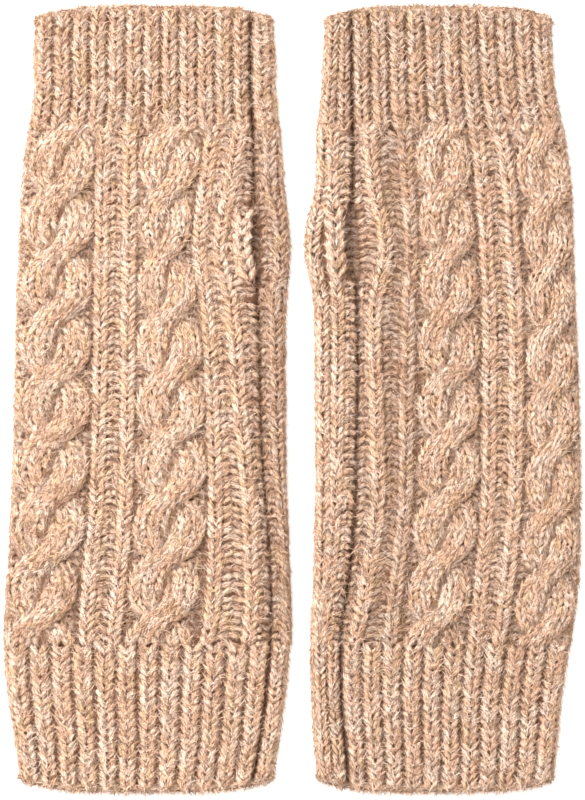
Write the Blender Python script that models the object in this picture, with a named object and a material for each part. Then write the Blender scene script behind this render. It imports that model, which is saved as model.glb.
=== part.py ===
"""A pair of fingerless cable mittens, laid flat side by side.

Each mitten is knitted in one flat length and wrapped round until its two long
edges meet at a seam on the upper face, beside the thumb. The seam is left open
for the thumb. A ribbed cuff, a cabled hand and a ribbed cuff follow each other
from the fingers to the wrist. X runs across the pair, Y from the wrists to the
fingers, and Z up from the surface that the pair lies on. Sizes in the tables
are millimetres.
"""

from collections import namedtuple
import math

import bmesh
import bpy

MM = 0.001

# Heights of the flattened tube, from the surface up
LOWER_LAYER = 3.0
LAYER_GAP = 0.6
UPPER_INSIDE = LOWER_LAYER + LAYER_GAP
FACE_HEIGHT = 6.0
MIDDLE = 0.5 * (LOWER_LAYER + UPPER_INSIDE)

# Folds down the two long sides
FOLD_REACH = 3.2
FOLD_WALL = 2.6
FOLD_STEPS = 3
FACE_START = 1.0

# Places across the plain layers, as shares of the half width
PLAIN_PLACES = (0.82, 0.55, 0.0, -0.55, -0.82)

# Joints between the zones, the seam and the thumb opening
JOINT_GAP = 0.3
SEAM_GAP = 0.3
THUMB_GAP = 5.4
THUMB_LIP = 1.8
LIP_PLACES = (0.25, 0.7)
THUMB_MARGIN = 5.0

# Relief of the stitches over the plain wall
RIB_RELIEF = 1.4
LADDER_RELIEF = 0.3
STRAND_RELIEF = 3.2
RIB_HALF_WIDTH = 2.7
SIDE_RIB_SHARE = 0.65
STRAND_STEPS = 8

# Cables: two strands that change places, one over the other, at each crossing
STRAND_SWING = 0.48
STRAND_HALF_WIDTH = 0.56
CROSSING_SHARPNESS = 1.2
BACK_STRAND_HEIGHT = 0.4
CABLE_FADE = 14.0
CABLE_START_HEIGHT = 0.45

# Ends of the mittens and joints of the cuffs with the hand
FINGER_END = 151.3
FINGER_JOINT = 103.0
WRIST_JOINT = -95.0
WRIST_END = -151.3
END_BOW = 4.5
CUFF_ROWS = 6
HAND_ROWS = 41
INNER_ROW_STEP = 4

# Side profile of one rib: place across it, share of its height
RIB_CROWN = ((0.0, 0.0), (0.22, 0.8), (0.5, 1.0), (0.78, 0.8), (1.0, 0.0))

WOOL_COLOUR = (0.66, 0.42, 0.25, 1.0)
WOOL_ROUGHNESS = 0.95

Outline = namedtuple("Outline", "y far seam near")
Tracks = namedtuple(
    "Tracks",
    "y outer_cable_start outer_cable_end rib_one rib_two"
    " inner_cable_start inner_cable_end knit_line edge_line",
)
Thumb = namedtuple("Thumb", "middle half_length face_lip side_lip")
Mitten = namedtuple(
    "Mitten",
    "name outline tracks face_ribs side_ribs side_line"
    " outer_crossing inner_crossing crossing_pitch thumb",
)
Run = namedtuple("Run", "outer inner")

LEFT_OUTLINE = (
    Outline(151.3, -99.0, -16.0, -7.5),
    Outline(136.0, -100.0, -16.0, -6.5),
    Outline(118.0, -99.8, -16.0, -6.0),
    Outline(103.0, -102.0, -15.0, -4.5),
    Outline(82.0, -104.5, -14.5, -3.0),
    Outline(60.0, -105.5, -15.0, -0.8),
    Outline(35.0, -106.5, -12.8, -2.3),
    Outline(-20.0, -107.6, -11.5, -2.5),
    Outline(-60.0, -109.2, -8.5, -2.0),
    Outline(-90.0, -111.2, -8.0, -0.8),
    Outline(-110.0, -110.5, -9.5, -2.2),
    Outline(-132.0, -107.5, -12.0, -4.5),
    Outline(-151.3, -105.0, -15.5, -7.5),
)

LEFT_TRACKS = (
    Tracks(103.0, -98.0, -76.0, -72.5, -62.5, -58.3, -34.5, -30.8, -20.4),
    Tracks(82.0, -101.0, -77.3, -73.0, -62.5, -58.0, -38.0, -33.2, -24.0),
    Tracks(58.0, -102.3, -77.7, -73.3, -62.7, -58.2, -40.0, -35.8, -28.0),
    Tracks(35.0, -103.2, -78.0, -73.6, -63.0, -58.5, -36.8, -32.8, -23.2),
    Tracks(0.0, -104.8, -78.6, -74.2, -63.3, -58.8, -34.4, -30.8, -20.3),
    Tracks(-40.0, -106.8, -80.0, -75.3, -64.2, -59.6, -34.0, -29.6, -16.8),
    Tracks(-80.0, -109.6, -84.3, -78.8, -67.5, -62.6, -37.5, -30.5, -15.6),
    Tracks(-95.0, -109.6, -84.3, -79.0, -69.0, -64.0, -39.3, -33.0, -17.2),
)

RIGHT_OUTLINE = (
    Outline(151.3, 100.0, 22.5, 13.0),
    Outline(136.0, 100.5, 23.0, 12.0),
    Outline(118.0, 102.0, 23.0, 11.0),
    Outline(103.0, 105.0, 23.5, 9.5),
    Outline(82.0, 107.7, 23.5, 8.8),
    Outline(60.0, 108.5, 22.8, 4.7),
    Outline(38.0, 109.3, 25.2, 8.2),
    Outline(0.0, 110.8, 25.2, 8.8),
    Outline(-40.0, 111.2, 24.5, 9.0),
    Outline(-70.0, 110.6, 22.0, 8.2),
    Outline(-92.0, 107.8, 19.0, 7.0),
    Outline(-118.0, 104.0, 19.0, 7.5),
    Outline(-138.0, 102.3, 21.0, 8.5),
    Outline(-151.3, 100.5, 21.5, 10.0),
)

RIGHT_TRACKS = (
    Tracks(103.0, 102.0, 84.5, 80.0, 71.0, 66.5, 48.0, 43.5, 29.3),
    Tracks(82.0, 106.0, 88.5, 83.5, 73.5, 68.5, 49.0, 44.6, 31.6),
    Tracks(58.0, 106.8, 90.0, 85.0, 75.0, 70.0, 50.3, 46.0, 36.0),
    Tracks(35.0, 107.5, 91.0, 86.0, 76.0, 71.0, 49.7, 44.9, 31.8),
    Tracks(0.0, 108.5, 91.0, 86.3, 76.0, 71.3, 49.5, 44.2, 32.3),
    Tracks(-40.0, 109.3, 90.3, 85.6, 75.4, 71.0, 48.5, 43.5, 33.0),
    Tracks(-80.0, 107.4, 87.0, 81.7, 72.0, 67.2, 45.0, 39.3, 27.0),
    Tracks(-95.0, 105.5, 85.0, 79.5, 70.5, 65.5, 43.5, 37.7, 24.0),
)

MITTENS = (
    Mitten(
        name="left",
        outline=LEFT_OUTLINE,
        tracks=LEFT_TRACKS,
        face_ribs=12,
        side_ribs=1,
        side_line=0.3,
        outer_crossing=79.5,
        inner_crossing=79.5,
        crossing_pitch=23.4,
        thumb=Thumb(middle=60.0, half_length=17.5, face_lip=1.0, side_lip=0.2),
    ),
    Mitten(
        name="right",
        outline=RIGHT_OUTLINE,
        tracks=RIGHT_TRACKS,
        face_ribs=11,
        side_ribs=2,
        side_line=0.5,
        outer_crossing=74.5,
        inner_crossing=79.5,
        crossing_pitch=23.6,
        thumb=Thumb(middle=60.0, half_length=15.5, face_lip=0.2, side_lip=1.0),
    ),
)


def read_table(table, y):
    """Row of a table at any y, on a smooth curve through its rows."""
    last = len(table) - 1
    index = 0
    while index < last - 1 and y < table[index + 1].y:
        index += 1
    start = table[index]
    end = table[index + 1]
    span = end.y - start.y
    t = min(1.0, max(0.0, (y - start.y) / span))
    before = table[max(index - 1, 0)]
    after = table[min(index + 2, last)]
    values = [y]
    for field in range(1, len(start)):
        slope_in = (end[field] - before[field]) / (end.y - before.y)
        slope_out = (after[field] - start[field]) / (after.y - start.y)
        values.append(
            start[field] * (2 * t**3 - 3 * t**2 + 1)
            + end[field] * (3 * t**2 - 2 * t**3)
            + slope_in * span * (t**3 - 2 * t**2 + t)
            + slope_out * span * (t**3 - t**2)
        )
    return type(start)(*values)


def thumb_share(mitten, y):
    """How far the thumb opening is open at y, from 0 at its ends to 1 in its middle."""
    offset = (y - mitten.thumb.middle) / mitten.thumb.half_length
    return math.sqrt(max(0.0, 1.0 - offset**2))


def face_height(x, far_edge):
    """Height of the plain upper face at x, which rounds down towards the far fold."""
    inset = 1.0 - min(1.0, abs(x - far_edge) / FOLD_REACH)
    return MIDDLE + (FACE_HEIGHT - MIDDLE) * math.sqrt(1.0 - inset**2)


def rib_points(start, end, edge, relief=RIB_RELIEF):
    """One rib from start to end over the upper face that folds at edge."""
    points = []
    for place, share in RIB_CROWN:
        x = start + place * (end - start)
        points.append((x, face_height(x, edge) + relief * share))
    return points


def strand_heights(turns):
    """Swing and height share of a cable's two strands, a number of crossings down it."""
    sway = math.tanh(CROSSING_SHARPNESS * math.sin(math.pi * turns))
    sway /= math.tanh(CROSSING_SHARPNESS)
    front = 0.5 + 0.5 * math.cos(math.pi * turns)
    span = 1.0 - BACK_STRAND_HEIGHT
    return (
        (-STRAND_SWING * sway, BACK_STRAND_HEIGHT + span * front),
        (STRAND_SWING * sway, BACK_STRAND_HEIGHT + span * (1.0 - front)),
    )


def cable_points(turns, y, from_x, to_x, edge):
    """One row across a cable: the higher of its two strands at each point."""
    middle = 0.5 * (from_x + to_x)
    half = 0.5 * abs(to_x - from_x)
    from_joint = min(FINGER_JOINT - y, y - WRIST_JOINT)
    fade = min(1.0, CABLE_START_HEIGHT + from_joint / CABLE_FADE)
    points = []
    for step in range(STRAND_STEPS + 1):
        x = from_x + (to_x - from_x) * step / STRAND_STEPS
        relief = 0.0
        for swing, height in strand_heights(turns):
            offset = ((x - middle) / half - swing) / STRAND_HALF_WIDTH
            relief = max(relief, height * math.sqrt(max(0.0, 1.0 - offset**2)))
        points.append((x, face_height(x, edge) + STRAND_RELIEF * fade * relief))
    return points


def seam_places(mitten, y, row):
    """The two wall ends at the seam: on the face's side and on the thumb's side."""
    half_gap = 0.5 * (SEAM_GAP + (THUMB_GAP - SEAM_GAP) * thumb_share(mitten, y))
    outward = math.copysign(1.0, row.far - row.seam)
    return row.seam + outward * half_gap, row.seam - outward * half_gap


def cuff_face(mitten, y, row, face_edge):
    """Upper face of a cuff, from the seam to the far fold: even ribs."""
    far_start = row.far - math.copysign(FACE_START, row.far - row.seam)
    pitch = (far_start - face_edge) / mitten.face_ribs
    points = []
    for rib in range(mitten.face_ribs):
        start = face_edge + rib * pitch
        points += rib_points(start, start + pitch, row.far)[:-1]
    points.append((far_start, face_height(far_start, row.far)))
    return points


def lip_points(share, mitten, y, edge, inland):
    """From a wall's end at the seam inland, raised to a rolled lip beside the thumb."""
    height = THUMB_LIP * share * thumb_share(mitten, y)
    points = [(edge, FACE_HEIGHT)]
    for place in LIP_PLACES:
        points.append((edge + place * (inland - edge), FACE_HEIGHT + height))
    return points


def hand_face(mitten, y, row, face_edge):
    """Upper face of the hand, from the seam to the far fold: ribs, ladder and cables."""
    tracks = read_table(mitten.tracks, y)
    outward = math.copysign(1.0, row.far - row.seam)
    half_rib = outward * RIB_HALF_WIDTH
    edge_start = tracks.edge_line - half_rib
    edge_end = tracks.edge_line + half_rib
    knit_start = tracks.knit_line - half_rib
    ladder = 0.5 * (edge_end + knit_start)
    far_start = row.far - outward * FACE_START
    points = lip_points(mitten.thumb.face_lip, mitten, y, face_edge, edge_start)
    points += rib_points(edge_start, edge_end, row.far)
    points.append((ladder, face_height(ladder, row.far) + LADDER_RELIEF))
    points += rib_points(knit_start, tracks.inner_cable_end, row.far)[:-1]
    points += cable_points(
        (mitten.inner_crossing - y) / mitten.crossing_pitch,
        y,
        tracks.inner_cable_end,
        tracks.inner_cable_start,
        row.far,
    )[:-1]
    points += rib_points(tracks.inner_cable_start, tracks.rib_two + half_rib, row.far)
    points += rib_points(tracks.rib_one - half_rib, tracks.outer_cable_end, row.far)[:-1]
    points += cable_points(
        (mitten.outer_crossing - y) / mitten.crossing_pitch,
        y,
        tracks.outer_cable_end,
        tracks.outer_cable_start,
        row.far,
    )[:-1]
    points.append((far_start, face_height(far_start, row.far)))
    return points


def cuff_side(mitten, y, row, side_edge):
    """Upper face of a cuff between the near fold and the seam, in that order."""
    near_start = row.near + math.copysign(FACE_START, row.seam - row.near)
    pitch = (side_edge - near_start) / mitten.side_ribs
    points = []
    for rib in range(mitten.side_ribs):
        start = near_start + rib * pitch
        points += rib_points(start, start + pitch, row.near)[:-1]
    points.append((side_edge, face_height(side_edge, row.near)))
    return points


def hand_side(mitten, y, row, side_edge):
    """Upper face of the hand between the near fold and the seam, with the thumb's lip."""
    inward = math.copysign(1.0, row.seam - row.near)
    near_start = row.near + inward * FACE_START
    line = near_start + (side_edge - near_start) * mitten.side_line
    room = min(abs(line - near_start), abs(side_edge - line))
    half_rib = min(RIB_HALF_WIDTH, SIDE_RIB_SHARE * room)
    rib_end = line + inward * half_rib
    points = [(near_start, face_height(near_start, row.near))]
    points += rib_points(line - inward * half_rib, rib_end, row.near)
    points += lip_points(mitten.thumb.side_lip, mitten, y, side_edge, rib_end)[::-1]
    return points


def fold_run(edge, inward):
    """Round a fold from the upper face to the underside, outside and inside."""
    outer = []
    for step in range(-1, FOLD_STEPS + 1):
        angle = 0.5 * math.pi * step / FOLD_STEPS
        inset = FOLD_REACH * (1.0 - math.cos(angle))
        outer.append((edge + inward * inset, MIDDLE * (1.0 - math.sin(angle))))
    outer[0] = (edge + inward * FACE_START, face_height(edge + inward * FACE_START, edge))
    inner_x = edge + inward * FOLD_WALL
    inner_turn = inner_x - inward * 0.5 * LAYER_GAP
    inner = [(inner_x, UPPER_INSIDE), (inner_turn, MIDDLE), (inner_x, LOWER_LAYER)]
    return Run(outer, inner)


def section_runs(mitten, y, face_maker, side_maker):
    """The wall's section at y, as runs from the seam round to the seam again."""
    row = read_table(mitten.outline, y)
    face_edge, side_edge = seam_places(mitten, y, row)
    outward = math.copysign(1.0, row.far - row.seam)
    far_fold = fold_run(row.far, -outward)
    near_fold = fold_run(row.near, outward)
    middle = 0.5 * (row.far + row.near)
    half_width = 0.5 * (row.far - row.near)
    places = [middle + half_width * share for share in PLAIN_PLACES]
    over_face = [x for x in places[::-1] if abs(row.far - x) < abs(row.far - face_edge)]
    face = Run(
        face_maker(mitten, y, row, face_edge),
        [(face_edge, UPPER_INSIDE)]
        + [(x, UPPER_INSIDE) for x in over_face]
        + [far_fold.inner[0]],
    )
    underside = Run(
        [far_fold.outer[-1]] + [(x, 0.0) for x in places] + [near_fold.outer[-1]],
        [far_fold.inner[-1]] + [(x, LOWER_LAYER) for x in places] + [near_fold.inner[-1]],
    )
    side = Run(
        side_maker(mitten, y, row, side_edge),
        [near_fold.inner[0], (side_edge, UPPER_INSIDE)],
    )
    round_near = Run(near_fold.outer[::-1], near_fold.inner[::-1])
    return [face, far_fold, underside, round_near, side]


def bowed_height(x, y, outline):
    """Place along the mitten of a point near its end, which bows back at its corners."""
    row = read_table(outline, y)
    across = abs(2.0 * x - row.far - row.near) / abs(row.far - row.near)
    bow = END_BOW * min(1.0, across) ** 4
    if y > FINGER_JOINT:
        return y - bow * (y - FINGER_JOINT) / (FINGER_END - FINGER_JOINT)
    if y < WRIST_JOINT:
        return y + bow * (WRIST_JOINT - y) / (WRIST_JOINT - WRIST_END)
    return y


def matched_inner(run):
    """Inner points of a run, one under each outer point."""
    spans = [abs(b[0] - a[0]) for a, b in zip(run.outer, run.outer[1:])]
    inner_spans = [abs(b[0] - a[0]) for a, b in zip(run.inner, run.inner[1:])]
    scale = sum(inner_spans) / sum(spans)
    points = [run.inner[0]]
    piece = 0
    start = 0.0
    reached = 0.0
    for span in spans[:-1]:
        reached += span * scale
        while reached > start + inner_spans[piece]:
            start += inner_spans[piece]
            piece += 1
        share = (reached - start) / inner_spans[piece]
        a = run.inner[piece]
        b = run.inner[piece + 1]
        points.append((a[0] + share * (b[0] - a[0]), a[1] + share * (b[1] - a[1])))
    points.append(run.inner[-1])
    return points


def add_row(mesh, sides, y, outline):
    """Vertices of one row of points, as a list for each run, which shares its ends."""
    row = []
    shared = []
    for points in sides:
        vertices = list(shared)
        for x, z in points[len(shared):]:
            place = (x * MM, bowed_height(x, y, outline) * MM, z * MM)
            vertices.append(mesh.verts.new(place))
        shared = vertices[-1:]
        row.append(vertices)
    return row


def progress(row):
    """Share of a row's length that lies before each of its vertices."""
    lengths = [0.0]
    for a, b in zip(row, row[1:]):
        lengths.append(lengths[-1] + (b.co - a.co).length)
    return [length / lengths[-1] for length in lengths]


def fill_between(mesh, first, second):
    """Faces between two rows of vertices, whose counts may be unlike."""
    if len(first) == len(second):
        for a, b, c, d in zip(first, first[1:], second[1:], second):
            mesh.faces.new((a, b, c, d))
        return
    along_first = progress(first) + [math.inf]
    along_second = progress(second) + [math.inf]
    one = 0
    two = 0
    while one < len(first) - 1 or two < len(second) - 1:
        if along_first[one + 1] < along_second[two + 1]:
            mesh.faces.new((first[one], first[one + 1], second[two]))
            one += 1
        else:
            mesh.faces.new((first[one], second[two + 1], second[two]))
            two += 1


def loft_wall(mitten, start, end, rows, makers):
    """Closed wall of one zone between two places along the mitten."""
    mesh = bmesh.new()
    outer = []
    inner = []
    for index in range(rows):
        y = start + (end - start) * index / (rows - 1)
        runs = section_runs(mitten, y, *makers)
        outer.append(add_row(mesh, [run.outer for run in runs], y, mitten.outline))
        at_end = index in (0, rows - 1)
        beside_thumb = abs(y - mitten.thumb.middle) < mitten.thumb.half_length + THUMB_MARGIN
        if at_end:
            inner_runs = [matched_inner(run) for run in runs]
        else:
            inner_runs = [run.inner for run in runs]
        if at_end or beside_thumb or index % INNER_ROW_STEP == 0:
            inner.append(add_row(mesh, inner_runs, y, mitten.outline))
    for grid in (outer, inner):
        for row, next_row in zip(grid, grid[1:]):
            for run, next_run in zip(row, next_row):
                fill_between(mesh, run, next_run)
    for pick in (0, -1):
        for outer_run, inner_run in zip(outer[pick], inner[pick]):
            fill_between(mesh, outer_run, inner_run)
        outer_edge = [row[pick][pick] for row in outer]
        inner_edge = [row[pick][pick] for row in inner]
        fill_between(mesh, outer_edge, inner_edge)
    bmesh.ops.recalc_face_normals(mesh, faces=mesh.faces)
    return mesh


def wool_material(name):
    """Fluffy oatmeal wool."""
    material = bpy.data.materials.new(name)
    material.use_nodes = True
    shader = material.node_tree.nodes["Principled BSDF"]
    shader.inputs["Base Color"].default_value = WOOL_COLOUR
    shader.inputs["Roughness"].default_value = WOOL_ROUGHNESS
    shader.inputs["Metallic"].default_value = 0.0
    return material


def add_zone(collection, name, mesh):
    """Named object of one zone, with its own wool."""
    data = bpy.data.meshes.new(name)
    mesh.to_mesh(data)
    mesh.free()
    data.materials.append(wool_material(name + "_wool"))
    data.shade_smooth()
    data.set_sharp_from_angle(angle=math.radians(60.0))
    collection.objects.link(bpy.data.objects.new(name, data))


def build_mitten(collection, mitten):
    """Finger cuff, cabled hand and wrist cuff of one mitten."""
    half = 0.5 * JOINT_GAP
    cuff = (cuff_face, cuff_side)
    hand = (hand_face, hand_side)
    zones = (
        ("finger_cuff", FINGER_END, FINGER_JOINT + half, CUFF_ROWS, cuff),
        ("cable_hand", FINGER_JOINT - half, WRIST_JOINT + half, HAND_ROWS, hand),
        ("wrist_cuff", WRIST_JOINT - half, WRIST_END, CUFF_ROWS, cuff),
    )
    for zone, start, end, rows, makers in zones:
        mesh = loft_wall(mitten, start, end, rows, makers)
        add_zone(collection, mitten.name + "_" + zone, mesh)


def main():
    """Clear the scene and build both mittens."""
    for old in list(bpy.data.objects):
        bpy.data.objects.remove(old, do_unlink=True)
    collection = bpy.data.collections.new("fingerless_cable_mittens")
    bpy.context.scene.collection.children.link(collection)
    for mitten in MITTENS:
        build_mitten(collection, mitten)


main()
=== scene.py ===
"""A pair of fingerless cable mittens in fluffy marled wool, lying flat.

Each mitten is a flattened knitted tube in three zones: finger cuff, cabled hand
and wrist cuff. A zone is a plain ground of cloth, with the stitches laid over it
arm by arm, and a nap of loose fibres over the stitches. Sizes are millimetres
until a mesh is written.
"""

from collections.abc import Callable
from dataclasses import dataclass, fields, replace
from enum import Enum, IntEnum
import logging
import math

import bmesh
import bpy
from mathutils import Matrix
import numpy as np


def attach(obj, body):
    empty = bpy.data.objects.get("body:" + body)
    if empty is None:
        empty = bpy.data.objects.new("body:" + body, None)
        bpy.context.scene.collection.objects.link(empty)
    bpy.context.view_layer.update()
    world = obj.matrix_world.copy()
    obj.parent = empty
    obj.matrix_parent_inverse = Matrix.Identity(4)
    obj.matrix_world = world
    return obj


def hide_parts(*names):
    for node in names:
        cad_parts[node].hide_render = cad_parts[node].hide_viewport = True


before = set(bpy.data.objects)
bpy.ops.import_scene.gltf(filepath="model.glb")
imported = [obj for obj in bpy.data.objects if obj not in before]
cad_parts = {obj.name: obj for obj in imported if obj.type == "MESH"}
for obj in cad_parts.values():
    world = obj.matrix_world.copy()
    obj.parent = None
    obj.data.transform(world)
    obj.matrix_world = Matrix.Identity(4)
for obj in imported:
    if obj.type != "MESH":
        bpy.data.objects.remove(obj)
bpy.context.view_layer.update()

Places = np.ndarray
Points = np.ndarray
Curve = Callable[[Places], Places]
Copies = tuple[Points, list[list[int]], np.ndarray, np.ndarray, np.ndarray]
Draws = np.random.Generator
Colour = tuple[float, float, float]
Band = tuple[float, float, float]
Tree = bpy.types.NodeTree
Socket = bpy.types.NodeSocket

MM = 0.001
BODY = "root"
HANDS = (-1.0, 1.0)

# Heights and folds of the flattened tube
FACE_HEIGHT = 6.0
MIDDLE = 3.3
FOLD_REACH = 3.2
UPPER_ARC = 4.64
LOWER_ARC = 5.1
FACE_START = 1.0
INNER_LOW = 2.95
INNER_HIGH = 3.65
INNER_INSET = 1.9

# Ends, joints, seam and thumb opening
FINGER_END = 151.3
FINGER_JOINT = 103.0
WRIST_JOINT = -95.0
WRIST_END = -151.3
END_BOW = 4.5
BOW_POWER = 4
SEAM_GAP = 0.3
SEAM_DROP = 2.0
SEAM_REACH = 2.0
SEAM_FALLOFF = 1.5
SEAM_CLOSING = 1.5
THUMB_GAP = 5.4

# Waves in the line of the seam: share of the height, pace along it and start
SEAM_WAVE = 0.45
SEAM_WAVES = ((1.0, 0.9, 0.0), (0.7, 2.3, 1.0))

# Stitches and the strands of the cables
ROW_PITCH = 2.9
ARM_RISE = 3.5
PURL_RISE = 1.0
PURL_DROOP = 0.5
HEAD_STRAY = 1.5
UNEVEN = 0.12
WIDTH_UNEVEN = 0.06
STRAND_RELIEF = 3.2
STRAND_SWING = 0.48
STRAND_HALF_WIDTH = 0.65
CROSSING_SHARPNESS = 1.0
BACK_STRAND_HEIGHT = 0.4
CABLE_FADE = 14.0
CABLE_START_HEIGHT = 0.45
CABLE_LOWEST_HEIGHT = 0.25

# Painted shade and pattern of the yarn
DROP_PAINTED_LIGHT = 0.9
SEAM_DARK = 0.92
SEAM_LIT_HEIGHT = 7.6
SEAM_LIT_FADE = 1.2
SLIT_LIT_RISE = 1.4
GROOVE_DARK = 0.7
GROOVE_REACH = 1.1
GROOVE_SHIFT = 0.9
GROOVE_LIT_HEIGHT = 7.5
# Share of fibres painted darker, partly darker fibres and partly painted shadow in the gaps between
# fibres, and the most light these keep
DARK_SHARE = 0.42
DARKEST_SHARE = 0.5
CROSSING_KEPT = 0.5
TONE_DRIFT = 1.6
TONE_KEPT = 0.75
YARN_LENGTH = 400.0
FIBRE_PATTERN = 4.0

log = logging.getLogger("mittens")


@dataclass(frozen=True)
class StitchForm:
    """How the two arms of one stitch lie, and how unlike they are.

    The root and the head are shares of the column's half width. So is the width,
    apart from a purl stitch's, which is millimetres, as the other sizes are.
    """

    root: float
    head: float
    root_lift: float
    head_drop: float
    tilt: float
    width: float
    thick: float
    uneven: float
    width_uneven: float


class StitchKind(Enum):
    """How a column of stitches shows on the face, with the form of its arms."""

    KNIT = StitchForm(
        root=0.12, head=0.74, root_lift=0.25, head_drop=0.3, tilt=0.42,
        width=0.68, thick=2.0, uneven=UNEVEN, width_uneven=WIDTH_UNEVEN,
    )
    PURL = StitchForm(
        root=0.02, head=0.86, root_lift=0.0, head_drop=0.25, tilt=0.2,
        width=2.25, thick=1.7, uneven=0.32, width_uneven=0.12,
    )
    PRESSED = StitchForm(
        root=0.12, head=0.74, root_lift=0.0, head_drop=0.0, tilt=0.0,
        width=0.82, thick=0.7, uneven=UNEVEN, width_uneven=WIDTH_UNEVEN,
    )


class Track(IntEnum):
    """Lines that run along the hand, in the order of a table's sizes."""

    OUTER_CABLE_START = 0
    OUTER_CABLE_END = 1
    OUTER_RIB = 2
    INNER_RIB = 3
    INNER_CABLE_START = 4
    INNER_CABLE_END = 5
    KNIT_LINE = 6
    EDGE_LINE = 7


# Grooves beside the cables: the cable's edge, the rib beyond it and its side
GROOVES = (
    (Track.OUTER_CABLE_END, Track.OUTER_RIB, 1.0),
    (Track.INNER_CABLE_START, Track.INNER_RIB, -1.0),
    (Track.INNER_CABLE_END, Track.KNIT_LINE, 1.0),
)


class Zone(Enum):
    """Zones of a mitten, each a solid of its own."""

    FINGER_CUFF = "finger_cuff"
    CABLE_HAND = "cable_hand"
    WRIST_CUFF = "wrist_cuff"

    def slot(self, mitten: str) -> str:
        """Name of the material slot of this zone."""
        stitch = "cable" if self is Zone.CABLE_HAND else "rib"
        return f"{mitten}_{stitch}_wool"

    def span(self) -> tuple[float, float]:
        """Find where this zone lies.

        Returns:
            Its lower and upper end along the mitten.
        """
        return {
            Zone.FINGER_CUFF: (FINGER_JOINT, FINGER_END),
            Zone.CABLE_HAND: (WRIST_JOINT, FINGER_JOINT),
            Zone.WRIST_CUFF: (WRIST_END, WRIST_JOINT),
        }[self]

    def open_end(self) -> tuple[float, float]:
        """Place of a cuff's open end, and the way out of it."""
        return (FINGER_END, 1.0) if self is Zone.FINGER_CUFF else (WRIST_END, -1.0)


def steady(value: float) -> Curve:
    """A size that is the same at every place."""
    return lambda y: np.full(len(y), value)


def add_object(name: str, data: bpy.types.ID) -> bpy.types.Object:
    """Put a new object in the scene.

    Args:
        name: name of the object.
        data: its mesh, light or camera.

    Returns:
        The object.
    """
    piece = bpy.data.objects.new(name, data)
    bpy.context.scene.collection.objects.link(piece)
    return piece


@dataclass(frozen=True)
class SmoothTable:
    """Sizes in rows along a mitten, read at any place on a smooth curve."""

    rows: tuple[tuple[float, ...], ...]

    def read(self, y: Places) -> np.ndarray:
        """Read the sizes at each place.

        Args:
            y: places along the mitten.

        Returns:
            One row for each size, with its value at every place.
        """
        table = np.array(self.rows)
        last = len(table) - 1
        found = np.searchsorted(-table[:, 0], -y, side="right") - 1
        index = np.clip(found, 0, last - 1)
        start = table[index]
        end = table[index + 1]
        before = table[np.maximum(index - 1, 0)]
        after = table[np.minimum(index + 2, last)]
        span = (end[:, 0] - start[:, 0])[:, None]
        t = np.clip((y[:, None] - start[:, :1]) / span, 0.0, 1.0)
        slope_in = (end - before) / (end[:, :1] - before[:, :1])
        slope_out = (after - start) / (after[:, :1] - start[:, :1])
        values = (
            start * (2 * t**3 - 3 * t**2 + 1)
            + end * (3 * t**2 - 2 * t**3)
            + slope_in * span * (t**3 - 2 * t**2 + t)
            + slope_out * span * (t**3 - t**2)
        )
        return values[:, 1:].T


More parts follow.
